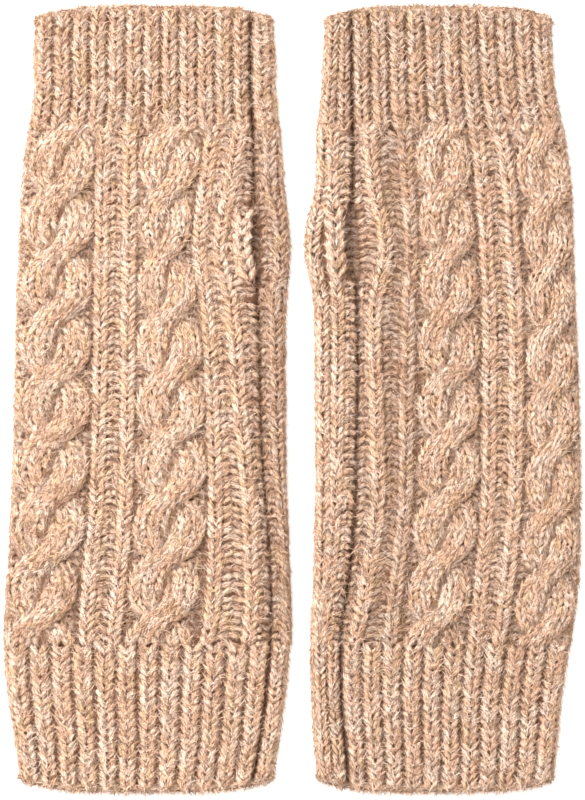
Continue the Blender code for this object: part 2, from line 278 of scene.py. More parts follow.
@dataclass(frozen=True)
class MittenShape:
    """Form of one mitten: its outline, its columns and its thumb opening."""

    name: str
    outline: SmoothTable
    tracks: SmoothTable
    face_ribs: int
    side_ribs: int
    outer_crossing: float
    inner_crossing: float
    crossing_pitch: float
    thumb_middle: float
    thumb_half_length: float
    thumb_line: tuple[float, float]
    lip_on_face: bool
    valley: float
    side: float

    def edges(self, y: Places) -> tuple[Places, Places, Places]:
        """Far fold, seam and near fold at each place y."""
        far, seam, near = self.outline.read(y)
        return far, seam, near

    def opening(self, y: Places) -> Places:
        """How far the thumb opening is open at each place, from 0 to 1."""
        offset = (y - self.thumb_middle) / self.thumb_half_length
        return np.sqrt(np.maximum(0.0, 1.0 - offset**2))

    def seam_edges(self, y: Places) -> tuple[Places, Places]:
        """Find the edges of the cloth at the seam.

        Args:
            y: places along the mitten.

        Returns:
            The edges on the face's side and on the thumb's side.
        """
        seam = self.edges(y)[1]
        half = 0.5 * (SEAM_GAP + (THUMB_GAP - SEAM_GAP) * self.opening(y))
        return seam + self.side * half, seam - self.side * half

    def at_seam(self, x: Places, y: Places) -> Places:
        """Find how near the seam or the thumb opening each place is.

        Args:
            x: places across the mitten.
            y: places along the mitten.

        Returns:
            Nearness from 0 to 1.
        """
        waves = sum(share * np.sin(pace * y + start) for share, pace, start in SEAM_WAVES)
        seam = self.edges(y)[1] + SEAM_WAVE * waves
        outside = np.maximum(0.0, np.abs(x - seam) - 0.5 * THUMB_GAP * self.opening(y))
        return np.maximum(0.0, 1.0 - outside / SEAM_REACH) ** SEAM_FALLOFF

    def seam_drop(self, x: Places, y: Places) -> Places:
        """How far the face dips towards the seam, where it is closed."""
        closed = 1.0 - np.minimum(1.0, SEAM_CLOSING * self.opening(y))
        return SEAM_DROP * self.at_seam(x, y) * closed

    def seam_light(self, points: Points) -> Places:
        """Find the share of its light that each point keeps beside the seam.

        Args:
            points: points of the yarn.

        Returns:
            Shares from 0 to 1.
        """
        x, y, z = points.T
        low = np.clip((SEAM_LIT_HEIGHT - z) / SEAM_LIT_FADE, 0.0, 1.0)
        low *= z > MIDDLE + SLIT_LIT_RISE * self.opening(y)
        return 1.0 - SEAM_DARK * self.at_seam(x, y) * low

    def groove_light(self, points: Points) -> Places:
        """Find the share of its light that each point keeps beside the cables.

        Args:
            points: points of the yarn.

        Returns:
            Shares from 0 to 1.
        """
        x, y, z = points.T
        tracks = self.tracks.read(y)
        low = np.clip(GROOVE_LIT_HEIGHT - z, 0.0, 1.0) * (z > MIDDLE)
        low *= (y > WRIST_JOINT) & (y < FINGER_JOINT)
        light = np.ones(len(x))
        for cable, rib, _ in GROOVES:
            middle = tracks[cable] + GROOVE_SHIFT * np.sign(tracks[rib] - tracks[cable])
            near = np.maximum(0.0, 1.0 - np.abs(x - middle) / GROOVE_REACH)
            light -= GROOVE_DARK * near * low
        return light

    def keeps(self, fibres: Points) -> np.ndarray:
        """Which fibres stay on their own side of the seam, or lie on the underside."""
        ends = (fibres[:, 0], fibres[:, -1])
        root, tip = (np.sign(end[:, 0] - self.edges(end[:, 1])[1]) for end in ends)
        return (root == tip) | (fibres[:, 0, 2] < MIDDLE)

    def surface(self, x: Places, y: Places, lift: Places) -> tuple[Points, Points, Points]:
        """Place points on the tube, which is unrolled past its folds.

        Args:
            x: places across the unrolled face.
            y: places along the mitten.
            lift: heights over the plain cloth.

        Returns:
            The points, the outward directions and the directions across.
        """
        far, _, near = self.edges(y)
        past_far = (x - far) * self.side + FOLD_REACH
        past_near = (near - x) * self.side + FOLD_REACH
        is_far = past_far > past_near
        turn = np.where(is_far, self.side, -self.side)
        past = np.where(is_far, past_far, past_near)
        start = np.where(is_far, far, near) - turn * FOLD_REACH
        upper = 0.5 * math.pi * np.clip(past / UPPER_ARC, 0.0, 1.0)
        lower = 0.5 * math.pi * np.clip((past - UPPER_ARC) / LOWER_ARC, 0.0, 1.0)
        under = np.maximum(past - UPPER_ARC - LOWER_ARC, 0.0)
        out_x = turn * np.sin(upper) * np.cos(lower)
        out_z = np.cos(upper) - np.sin(lower)
        flat_x = np.where(past > 0.0, start, x)
        z = MIDDLE + (FACE_HEIGHT - MIDDLE) * np.cos(upper) - MIDDLE * np.sin(lower)
        none = np.zeros_like(out_x)
        outward = np.stack((out_x, none, out_z), axis=1)
        across = np.stack((out_z, none, -out_x), axis=1)
        plain = np.stack((flat_x + FOLD_REACH * out_x - turn * under, y, z), axis=1)
        height = lift - self.seam_drop(x, y)
        return plain + outward * height[:, None], outward, across

    def bow(self, points: Points) -> Points:
        """Bow both ends of the mitten back at their corners.

        Args:
            points: points of a mesh.

        Returns:
            The same points after the bow.
        """
        y = points[:, 1]
        far, _, near = self.edges(y)
        across = np.abs(2.0 * points[:, 0] - far - near) / np.abs(far - near)
        above = np.maximum(0.0, (y - FINGER_JOINT) / (FINGER_END - FINGER_JOINT))
        below = np.maximum(0.0, (WRIST_JOINT - y) / (WRIST_JOINT - WRIST_END))
        bowed = points.copy()
        bowed[:, 1] += END_BOW * np.minimum(1.0, across) ** BOW_POWER * (below - above)
        return bowed


@dataclass
class Arms:
    """Arms of yarn, each a short fat stroke from its start to its end.

    An arm's share of light is 1 where it stands free, and it falls towards 0 where it lies in a
    crevice and is painted in shade.
    """

    start: Points
    end: Points
    up: Points
    width: Places
    thick: Places
    unshaded: Places

    @staticmethod
    def joined(parts: list["Arms"]) -> "Arms":
        """All arms of several lists in one."""
        names = [field.name for field in fields(Arms)]
        return Arms(*(np.concatenate([getattr(part, name) for part in parts]) for name in names))

    def kept(self, mask: np.ndarray) -> "Arms":
        """Only the arms that the mask keeps."""
        return Arms(*(getattr(self, field.name)[mask] for field in fields(Arms)))

    def tones(self, draws: Draws) -> Places:
        """Shade the arms, so that the yarn's shade drifts slowly along it.

        Args:
            draws: source of the drift.

        Returns:
            The shade of each arm, from 0 to 1.
        """
        drift = draws.normal(0.0, 1.0, len(self.width) + 2)
        drift = drift[:-2] + TONE_DRIFT * drift[1:-1] + drift[2:]
        return np.argsort(np.argsort(drift)) / len(drift)

    def frames(self) -> tuple[Points, Points, Points, Places]:
        """Measure the arms.

        Returns:
            Directions along, across and up of each arm, and its length.
        """
        reach = self.end - self.start
        length = np.linalg.norm(reach, axis=1)
        along = reach / length[:, None]
        across = np.cross(along, self.up)
        across /= np.linalg.norm(across, axis=1)[:, None]
        return along, across, np.cross(across, along), length


def from_lowest(face: list[int]) -> list[int]:
    """Corners of a face in their own order, from the lowest one on."""
    first = face.index(min(face))
    return face[first:] + face[:first]


@dataclass(frozen=True)
class ArmForm:
    """Drop of yarn that stands for one arm: slim at its root, fat at its head.

    The lights say how painted shade darkens the drop's colour away from its crown and its middle.
    """

    girth_steps: int
    length_steps: int
    root_share: float = 0.74
    head_share: float = 1.1
    fullness: float = 0.62
    bulge: float = 0.24
    overlap: float = 0.1
    flank_light: float = 0.86
    crown_light: float = 1.1
    end_light: float = 0.5
    middle_light: float = 3.2

    def mesh(self) -> bmesh.types.BMesh:
        """Model one drop.

        Returns:
            A drop of unit size: x across, y up and z along it.
        """
        drop = bmesh.new()
        bmesh.ops.create_uvsphere(
            drop, u_segments=self.girth_steps, v_segments=self.length_steps, radius=0.5
        )
        turn = Matrix.Rotation(math.pi / self.girth_steps, 3, "Z")
        bmesh.ops.rotate(drop, verts=drop.verts, cent=(0.0, 0.0, 0.0), matrix=turn)
        for vertex in drop.verts:
            along = vertex.co.z + 0.5
            radius = math.hypot(vertex.co.x, vertex.co.y)
            share = self.root_share + (self.head_share - self.root_share) * along
            if radius > 0.0:
                share *= (2.0 * radius) ** (self.fullness - 1.0)
            vertex.co.x *= share
            vertex.co.y = vertex.co.y * share + self.bulge * (4.0 * along * (1.0 - along) - 0.5)
            vertex.co.z = along * (1.0 + 2.0 * self.overlap) - self.overlap
        return drop

    def copies(
        self, name: str, shape: MittenShape, arms: Arms, tones: Places, seed: int
    ) -> bpy.types.Object:
        """Lay a copy of the drop along every arm, as one mesh.

        Args:
            name: name of the new object.
            shape: the mitten that the arms lie on.
            arms: where the drops lie.
            tones: shade of each arm.
            seed: start of the draws of each drop's fibres.

        Returns:
            The new object.
        """
        drop = self.mesh()
        form = np.array([vertex.co for vertex in drop.verts])
        corners = sorted(from_lowest([vertex.index for vertex in face.verts]) for face in drop.faces)
        drop.free()
        along, across, up, length = arms.frames()
        points = (
            arms.start[:, None, :]
            + along[:, None, :] * (form[None, :, 2:] * length[:, None, None])
            + across[:, None, :] * (form[None, :, :1] * arms.width[:, None, None])
            + up[:, None, :] * (form[None, :, 1:2] * arms.thick[:, None, None])
        )
        draws = np.random.default_rng(seed)
        angle = np.arctan2(form[:, 0], form[:, 1])
        strand = np.empty(points.shape)
        strand[:, :, 1] = form[None, :, 2] * length[:, None]
        strand[:, :, 0] = 0.5 * angle[None, :] * arms.width[:, None]
        strand[:, :, 2] = draws.uniform(0.0, YARN_LENGTH, len(length))[:, None]
        tone = np.broadcast_to(tones[:, None], points.shape[:2])
        # Painted shade: a drop keeps less light on its lower flanks, at its ends and in crevices,
        # and its colour is darkened by that
        height = np.clip(self.flank_light + self.crown_light * form[:, 1], 0.0, 1.0)
        between_ends = form[:, 2] * (1.0 - form[:, 2])
        ends = np.clip(self.end_light + self.middle_light * between_ends, 0.0, 1.0)
        crest = DROP_PAINTED_LIGHT * (height * ends)[None, :] * arms.unshaded[:, None]
        return joined_copies(name, shape, [(points, corners, strand, tone, crest)])


@dataclass(frozen=True)
class Fibres:
    """Fibres of one sort: how many, how big and how unruly they are."""

    per_area: float
    length: tuple[float, float]
    width: tuple[float, float]
    stray: float
    rise: tuple[float, float]
    bent: bool = False
    spread: float = 1.35
    bend: float = 0.45
    bend_width: float = 0.8
    root_height: float = 0.52
    tip_rise: float = 0.6
    tip_droop: float = 0.05
    # Light that fibres keep under painted shade on an arm's flank, and more on its crown
    flank_unshaded: float = 0.52
    crown_unshaded: float = 0.65

    def lay(self, arms: Arms, draws: Draws) -> tuple[Points, np.ndarray, Places]:
        """Root the fibres on a list of arms.

        Args:
            arms: the stitches that the fibres stand on.
            draws: source of their unruliness.

        Returns:
            The corners of each fibre: two at its root, two at its bend, one at its
            tip. Then the arm that it stands on, and the light that painted shade leaves it.
        """
        along, across, up, length = arms.frames()
        area = length * arms.width
        count = int(self.per_area * area.sum())
        pick = draws.choice(len(area), count, p=area / area.sum())
        place = draws.uniform(0.0, 1.0, count)
        angle = draws.uniform(-self.spread, self.spread, count)
        cos = np.cos(angle)[:, None]
        sin = np.sin(angle)[:, None]
        outward = up[pick] * cos + across[pick] * sin
        root = (
            arms.start[pick]
            + along[pick] * (place * length[pick])[:, None]
            + up[pick] * cos * (self.root_height * arms.thick[pick])[:, None]
            + across[pick] * sin * (0.5 * arms.width[pick])[:, None]
        )
        heading = draws.normal(0.0, self.stray, count) + math.pi * draws.integers(0, 2, count)
        bend = heading + draws.normal(0.0, self.bend, count)
        rise = draws.uniform(*self.rise, count)[:, None]
        sideways = np.cross(outward, along[pick])
        reach = draws.uniform(*self.length, count)[:, None]
        first = along[pick] * np.cos(heading)[:, None] + sideways * np.sin(heading)[:, None]
        second = along[pick] * np.cos(bend)[:, None] + sideways * np.sin(bend)[:, None]
        middle = root + 0.5 * reach * (first + outward * rise)
        tip_rise = self.tip_rise * rise - self.tip_droop
        tip = middle + 0.5 * reach * (second + outward * tip_rise)
        half = 0.5 * draws.uniform(*self.width, count)[:, None]
        edge = np.cross(first, outward)
        edge *= half / np.linalg.norm(edge, axis=1)[:, None]
        corners = [root - edge, root + edge]
        if self.bent:
            corners += [middle + self.bend_width * edge, middle - self.bend_width * edge]
        # Painted shade: fibres on an arm's flanks keep less light than fibres on its crown
        free = np.clip(self.flank_unshaded + self.crown_unshaded * np.cos(angle), 0.0, 1.0)
        unshaded = arms.unshaded[pick] * free
        # A share of fibres is painted darker: partly darker fibres, partly painted shadow in the
        # gaps between fibres
        light_in_shade = draws.uniform(0.0, DARKEST_SHARE, count)
        unshaded *= np.where(draws.uniform(0.0, 1.0, count) < DARK_SHARE, light_in_shade, 1.0)
        return np.stack(corners + [tip], axis=1), pick, unshaded


@dataclass(frozen=True)
class Nap:
    """Loose fibres: a coat that lies flat, stray hairs, and fibres in the crevices."""

    coat: Fibres = Fibres(3.1, length=(1.5, 4.2), width=(0.2, 0.42), stray=0.36, rise=(0.0, 0.14))
    hairs: Fibres = Fibres(
        0.45, length=(2.2, 5.5), width=(0.1, 0.2), stray=0.75, rise=(0.05, 0.5), bent=True
    )
    under: Fibres = Fibres(1.4, length=(1.6, 4.0), width=(0.22, 0.5), stray=3.0, rise=(0.0, 0.15))

    def fibres(
        self, name: str, shape: MittenShape, arms: Arms, tones: Places, crevices: Arms, seed: int
    ) -> bpy.types.Object:
        """Spread all three sorts of fibre.

        Args:
            name: name of the new object.
            shape: the mitten that the arms lie on.
            arms: the stitches that the fibres stand on.
            tones: shade of each arm.
            crevices: places on the ground that fibres stand on.
            seed: start of the draws.

        Returns:
            The new object.
        """
        draws = np.random.default_rng(seed)
        sorts = []
        for fibres, bearers, shades in (
            (self.coat, arms, tones),
            (self.hairs, arms, tones),
            (self.under, crevices, crevices.tones(draws)),
        ):
            corners = [[0, 1, 2, 3], [3, 2, 4]] if fibres.bent else [[0, 1, 2]]
            points, pick, unshaded = fibres.lay(bearers, draws)
            crossing_kept = draws.uniform(0.0, 1.0, len(points)) < CROSSING_KEPT
            stays = shape.keeps(points) | crossing_kept
            points, pick, unshaded = points[stays], pick[stays], unshaded[stays]
            strand = np.zeros(points.shape)
            strand[:, -1, 1] = FIBRE_PATTERN
            strand[:, :, 2] = draws.uniform(0.0, YARN_LENGTH, len(points))[:, None]
            own_shade = draws.uniform(0.0, 1.0 - TONE_KEPT, len(points))
            shade = TONE_KEPT * shades[pick] + own_shade
            tone = np.repeat(shade[:, None], points.shape[1], axis=1)
            crest = np.repeat(unshaded[:, None], points.shape[1], axis=1)
            sorts.append((points, corners, strand, tone, crest))
        return joined_copies(name, shape, sorts)


def joined_copies(name: str, shape: MittenShape, sorts: list[Copies]) -> bpy.types.Object:
    """Write many copies of a few small forms as one mesh.

    Args:
        name: name of the new object.
        shape: the mitten whose ends bow.
        sorts: for each form its copies' points, the corners of its faces, each
        point's place on the yarn, its copy's tone and the light that it keeps,
        lower where shade is painted in the crevices.

    Returns:
        The new object.
    """
    loops = []
    totals = []
    first = 0
    for points, corners, _, _, _ in sorts:
        copies, each = points.shape[:2]
        form = np.array([corner for face in corners for corner in face])
        loops.append((first + np.arange(copies)[:, None] * each + form[None, :]).ravel())
        totals.append(np.tile([len(face) for face in corners], copies))
        first += copies * each
    laid = np.concatenate([sort[0].reshape(-1, 3) for sort in sorts])
    # Painted shade beside the seam and in the grooves beside the cables
    light = shape.seam_light(laid) * shape.groove_light(laid)
    flat = shape.bow(laid)
    flat[:, 2] = np.maximum(flat[:, 2], 0.0)
    loop_list = np.concatenate(loops)
    total_list = np.concatenate(totals)
    mesh = bpy.data.meshes.new(name)
    mesh.vertices.add(len(flat))
    mesh.vertices.foreach_set("co", (flat * MM).ravel())
    mesh.loops.add(len(loop_list))
    mesh.loops.foreach_set("vertex_index", loop_list)
    mesh.polygons.add(len(total_list))
    mesh.polygons.foreach_set("loop_start", np.cumsum(total_list) - total_list)
    mesh.update(calc_edges=True)
    mesh.polygons.foreach_set("use_smooth", np.ones(len(total_list), dtype=bool))
    strand, tone, crest = (
        np.concatenate([sort[index].ravel() for sort in sorts]) for index in (2, 3, 4)
    )
    for title, kind, part, values in (
        ("strand", "FLOAT_VECTOR", "vector", strand),
        ("tone", "FLOAT", "value", tone),
        ("crest", "FLOAT", "value", crest * light),
    ):
        mesh.attributes.new(title, kind, "POINT").data.foreach_set(part, values)
    return add_object(name, mesh)


def lay_arms(
    shape: MittenShape,
    root: tuple[Places, Places, Places],
    head: tuple[Places, Places, Places],
    tilt: float,
    width: Places,
    thick: Places,
    unshaded: Places,
) -> Arms:
    """Lay arms on the cloth between two lists of places.

    Args:
        shape: the mitten that the arms lie on.
        root: across, along and height of the arms' starts.
        head: across, along and height of the arms' ends.
        tilt: lean of the arms to one side, in radians.
        width: width of each arm.
        thick: thickness of each arm.
        unshaded: share of light each arm keeps, lower where shade is painted in crevices.

    Returns:
        The arms.
    """
    start = shape.surface(*root)[0]
    end = shape.surface(*head)[0]
    middle = tuple(0.5 * (a + b) for a, b in zip(root, head))
    _, outward, across = shape.surface(*middle)
    up = outward * np.cos(tilt) + across * np.sin(tilt)
    return Arms(start, end, up, width, thick, unshaded)


@dataclass(frozen=True)
class Column:
    """A column of stitches: where it runs on the unrolled face and how it stands."""

    kind: StitchKind
    centre: Curve
    half: Curve
    lift: float = 0.0
    # Share of light the column keeps under painted shade
    unshaded: float = 1.0
    lowest: float = -200.0
    highest: float = 200.0
    stout: float = 1.0

    def arms(self, shape: MittenShape, rows: Places, draws: Draws) -> Arms:
        """Lay two arms for every row of the column.

        Args:
            shape: the mitten that the column lies on.
            rows: places of the rows along the mitten.
            draws: source of the small unevenness of hand knitting.

        Returns:
            The arms of the column.
        """
        y = rows[(rows >= self.lowest) & (rows <= self.highest)]
        if self.stout > 1.0:
            y = np.arange(self.lowest, self.highest, ROW_PITCH * self.stout)
        y = y + draws.normal(0.0, UNEVEN, len(y))
        side = self.purl_side if self.kind is StitchKind.PURL else self.knit_side
        return Arms.joined([side(shape, y, hand, draws) for hand in HANDS])

    def knit_side(self, shape: MittenShape, y: Places, hand: float, draws: Draws) -> Arms:
        """Lay one side of a column of Vs, each rising outwards from the middle.

        Args:
            shape: the mitten that the column lies on.
            y: places of the stitches along the mitten.
            hand: side of the column, -1 or 1.
            draws: source of the small unevenness.

        Returns:
            The arms of that side.
        """
        form = self.kind.value
        uneven = draws.normal(0.0, form.uneven, (3, len(y)))
        top = y + ARM_RISE * self.stout + HEAD_STRAY * uneven[0]
        half = self.half(y)
        root_x = self.centre(y) + hand * form.root * half + uneven[1]
        head_x = self.centre(top) + hand * form.head * half + uneven[2]
        width = form.width * half * draws.normal(1.0, form.width_uneven, len(y))
        return self.laid(shape, (root_x, y), (head_x, top), hand, width)

    def purl_side(self, shape: MittenShape, y: Places, hand: float, draws: Draws) -> Arms:
        """Lay one side of a column of low bumps, each drooping outwards.

        Args:
            shape: the mitten that the column lies on.
            y: places of the stitches along the mitten.
            hand: side of the column, -1 or 1.
            draws: source of the small unevenness.

        Returns:
            The arms of that side.
        """
        form = self.kind.value
        uneven = draws.normal(0.0, form.uneven, (3, len(y)))
        half = self.half(y)
        root_x = self.centre(y) + hand * form.root * half
        head_x = self.centre(y) + hand * form.head * half + uneven[0]
        root_y = y + PURL_RISE + uneven[1]
        head_y = y - PURL_DROOP + HEAD_STRAY * uneven[2]
        width = form.width * draws.normal(1.0, form.width_uneven, len(y))
        return self.laid(shape, (root_x, root_y), (head_x, head_y), hand, width)

    def laid(
        self,
        shape: MittenShape,
        root: tuple[Places, Places],
        head: tuple[Places, Places],
        hand: float,
        width: Places,
    ) -> Arms:
        """Lay the arms of one side at the column's height.

        Args:
            shape: the mitten that the column lies on.
            root: places across and along of the arms' starts.
            head: places across and along of the arms' ends.
            hand: side of the column, -1 or 1.
            width: width of each arm.

        Returns:
            The arms.
        """
        form = self.kind.value
        count = len(width)
        return lay_arms(
            shape,
            (*root, np.full(count, self.lift + form.root_lift)),
            (*head, np.full(count, self.lift - form.head_drop)),
            hand * form.tilt,
            width,
            np.full(count, form.thick * self.stout),
            np.full(count, self.unshaded),
        )


@dataclass(frozen=True)
class Cable:
    """Rope of two strands that change places, one over the other.

    Places across it are shares of its half width.
    """

    start_track: Track
    end_track: Track
    first_crossing: float
    lanes: tuple[float, ...] = (-1.0, 0.0, 1.0)
    lane_pitch: float = 0.42
    root_share: float = 0.035
    middle_share: float = 0.09
    head_share: float = 0.16
    lane_tilt: float = 0.62
    hand_tilt: float = 0.22
    arm_width: float = 0.21
    arm_thick: float = 1.95
    sink: float = 0.72
    hidden_by: float = 0.13
    shaded_below: float = 0.32
    darkest: float = 0.3
    dips: tuple[float, float] = (-0.86, 0.86)
    dip_half: float = 2.7
    dip_lift: float = -0.4
    # Painted shade on the bumps in the notches
    dip_unshaded: float = 0.68
    dip_covered: float = 0.35

    def strands(self, shape: MittenShape, y: Places) -> list[tuple[Places, Places]]:
        """Find where both strands run.

        Args:
            shape: the mitten that the cable lies on.
            y: places along the mitten.

        Returns:
            Swing and height share of each strand at every place.
        """
        turns = (self.first_crossing - y) / shape.crossing_pitch
        sway = np.tanh(CROSSING_SHARPNESS * np.sin(math.pi * turns))
        sway /= math.tanh(CROSSING_SHARPNESS)
        front = 0.5 + 0.5 * np.cos(math.pi * turns)
        span = 1.0 - BACK_STRAND_HEIGHT
        return [
            (-STRAND_SWING * sway, BACK_STRAND_HEIGHT + span * front),
            (STRAND_SWING * sway, BACK_STRAND_HEIGHT + span * (1.0 - front)),
        ]

    def width(self, shape: MittenShape, y: Places) -> tuple[Places, Places]:
        """Middle and half width of the cable at each place y."""
        start, end = shape.tracks.read(y)[[self.start_track, self.end_track]]
        return 0.5 * (start + end), 0.5 * np.abs(end - start)

    def relief(self, shape: MittenShape, y: Places, spot: Places, strand: int) -> Places:
        """Find the height of one strand at a spot across the cable.

        Args:
            shape: the mitten that the cable lies on.
            y: places along the mitten.
            spot: places across the cable.
            strand: number of the strand.

        Returns:
            Shares of the cable's full height.
        """
        swing, height = self.strands(shape, y)[strand]
        across = (spot - swing) / STRAND_HALF_WIDTH
        return height * np.sqrt(np.maximum(0.0, 1.0 - across**2))

    def fade(self, y: Places) -> Places:
        """Share of its full height that the cable has near the cuffs."""
        from_joint = np.minimum(FINGER_JOINT - y, y - WRIST_JOINT)
        return np.clip(CABLE_START_HEIGHT + from_joint / CABLE_FADE, CABLE_LOWEST_HEIGHT, 1.0)

    def arms(self, shape: MittenShape, rows: Places, draws: Draws) -> Arms:
        """Lay the stitches of both strands and the dips beside them.

        Args:
            shape: the mitten that the cable lies on.
            rows: places of the rows along the mitten.
            draws: source of the small unevenness of hand knitting.

        Returns:
            The arms that show.
        """
        found = []
        for strand in (0, 1):
            for lane in self.lanes:
                for hand in HANDS:
                    found.append(self.lane_side(shape, rows, draws, strand, lane, hand))
        found += [self.dip(shape, rows, draws, place) for place in self.dips]
        return Arms.joined(found)

    def lane_side(
        self,
        shape: MittenShape,
        rows: Places,
        draws: Draws,
        strand: int,
        lane: float,
        hand: float,
    ) -> Arms:
        """Lay one side of one lane of Vs along a strand.

        Args:
            shape: the mitten that the cable lies on.
            rows: places of the rows along the mitten.
            draws: source of the small unevenness.
            strand: number of the strand.
            lane: number of the lane, from the middle of its strand.
            hand: side of the lane, -1 or 1.

        Returns:
            The arms that the other strand leaves in view.
        """
        uneven = draws.normal(0.0, UNEVEN, (3, len(rows)))
        y = rows + uneven[0]
        top = y + ARM_RISE
        places = []
        for at, share, shift in (
            (y, self.root_share, uneven[1]),
            (top, self.head_share, uneven[2]),
        ):
            middle, half = self.width(shape, at)
            offset = lane * self.lane_pitch + hand * share
            spot = self.strands(shape, at)[strand][0] + offset
            own = self.relief(shape, at, spot, strand)
            lift = STRAND_RELIEF * self.fade(at) * own - self.sink
            places.append((middle + half * spot + shift, at, lift))
        half = self.width(shape, y)[1]
        middle_y = 0.5 * (y + top)
        swing = self.strands(shape, middle_y)[strand][0]
        spot = swing + lane * self.lane_pitch + hand * self.middle_share
        own = self.relief(shape, middle_y, spot, strand)
        other = self.relief(shape, middle_y, spot, 1 - strand)
        # Painted shade: arms keep less light where the other strand stands higher
        arms = lay_arms(
            shape,
            *places,
            lane * self.lane_tilt + hand * self.hand_tilt,
            self.arm_width * half * draws.normal(1.0, WIDTH_UNEVEN, len(y)),
            np.full(len(y), self.arm_thick),
            np.clip((own - other) / self.shaded_below, self.darkest, 1.0),
        )
        return arms.kept(other < own + self.hidden_by)

    def dip(self, shape: MittenShape, rows: Places, draws: Draws, place: float) -> Arms:
        """Lay low bumps in the notches beside the crossings.

        Args:
            shape: the mitten that the cable lies on.
            rows: places of the rows along the mitten.
            draws: source of the small unevenness.
            place: place of the notches across the cable.

        Returns:
            The arms of the bumps.
        """
        column = Column(
            StitchKind.PURL,
            lambda y: self.width(shape, y)[0] + self.width(shape, y)[1] * place,
            steady(self.dip_half),
            self.dip_lift,
            self.dip_unshaded,
        )
        spot = np.full(len(rows), place)
        covered = np.maximum(*(self.relief(shape, rows, spot, strand) for strand in (0, 1)))
        return column.arms(shape, rows[covered < self.dip_covered], draws)


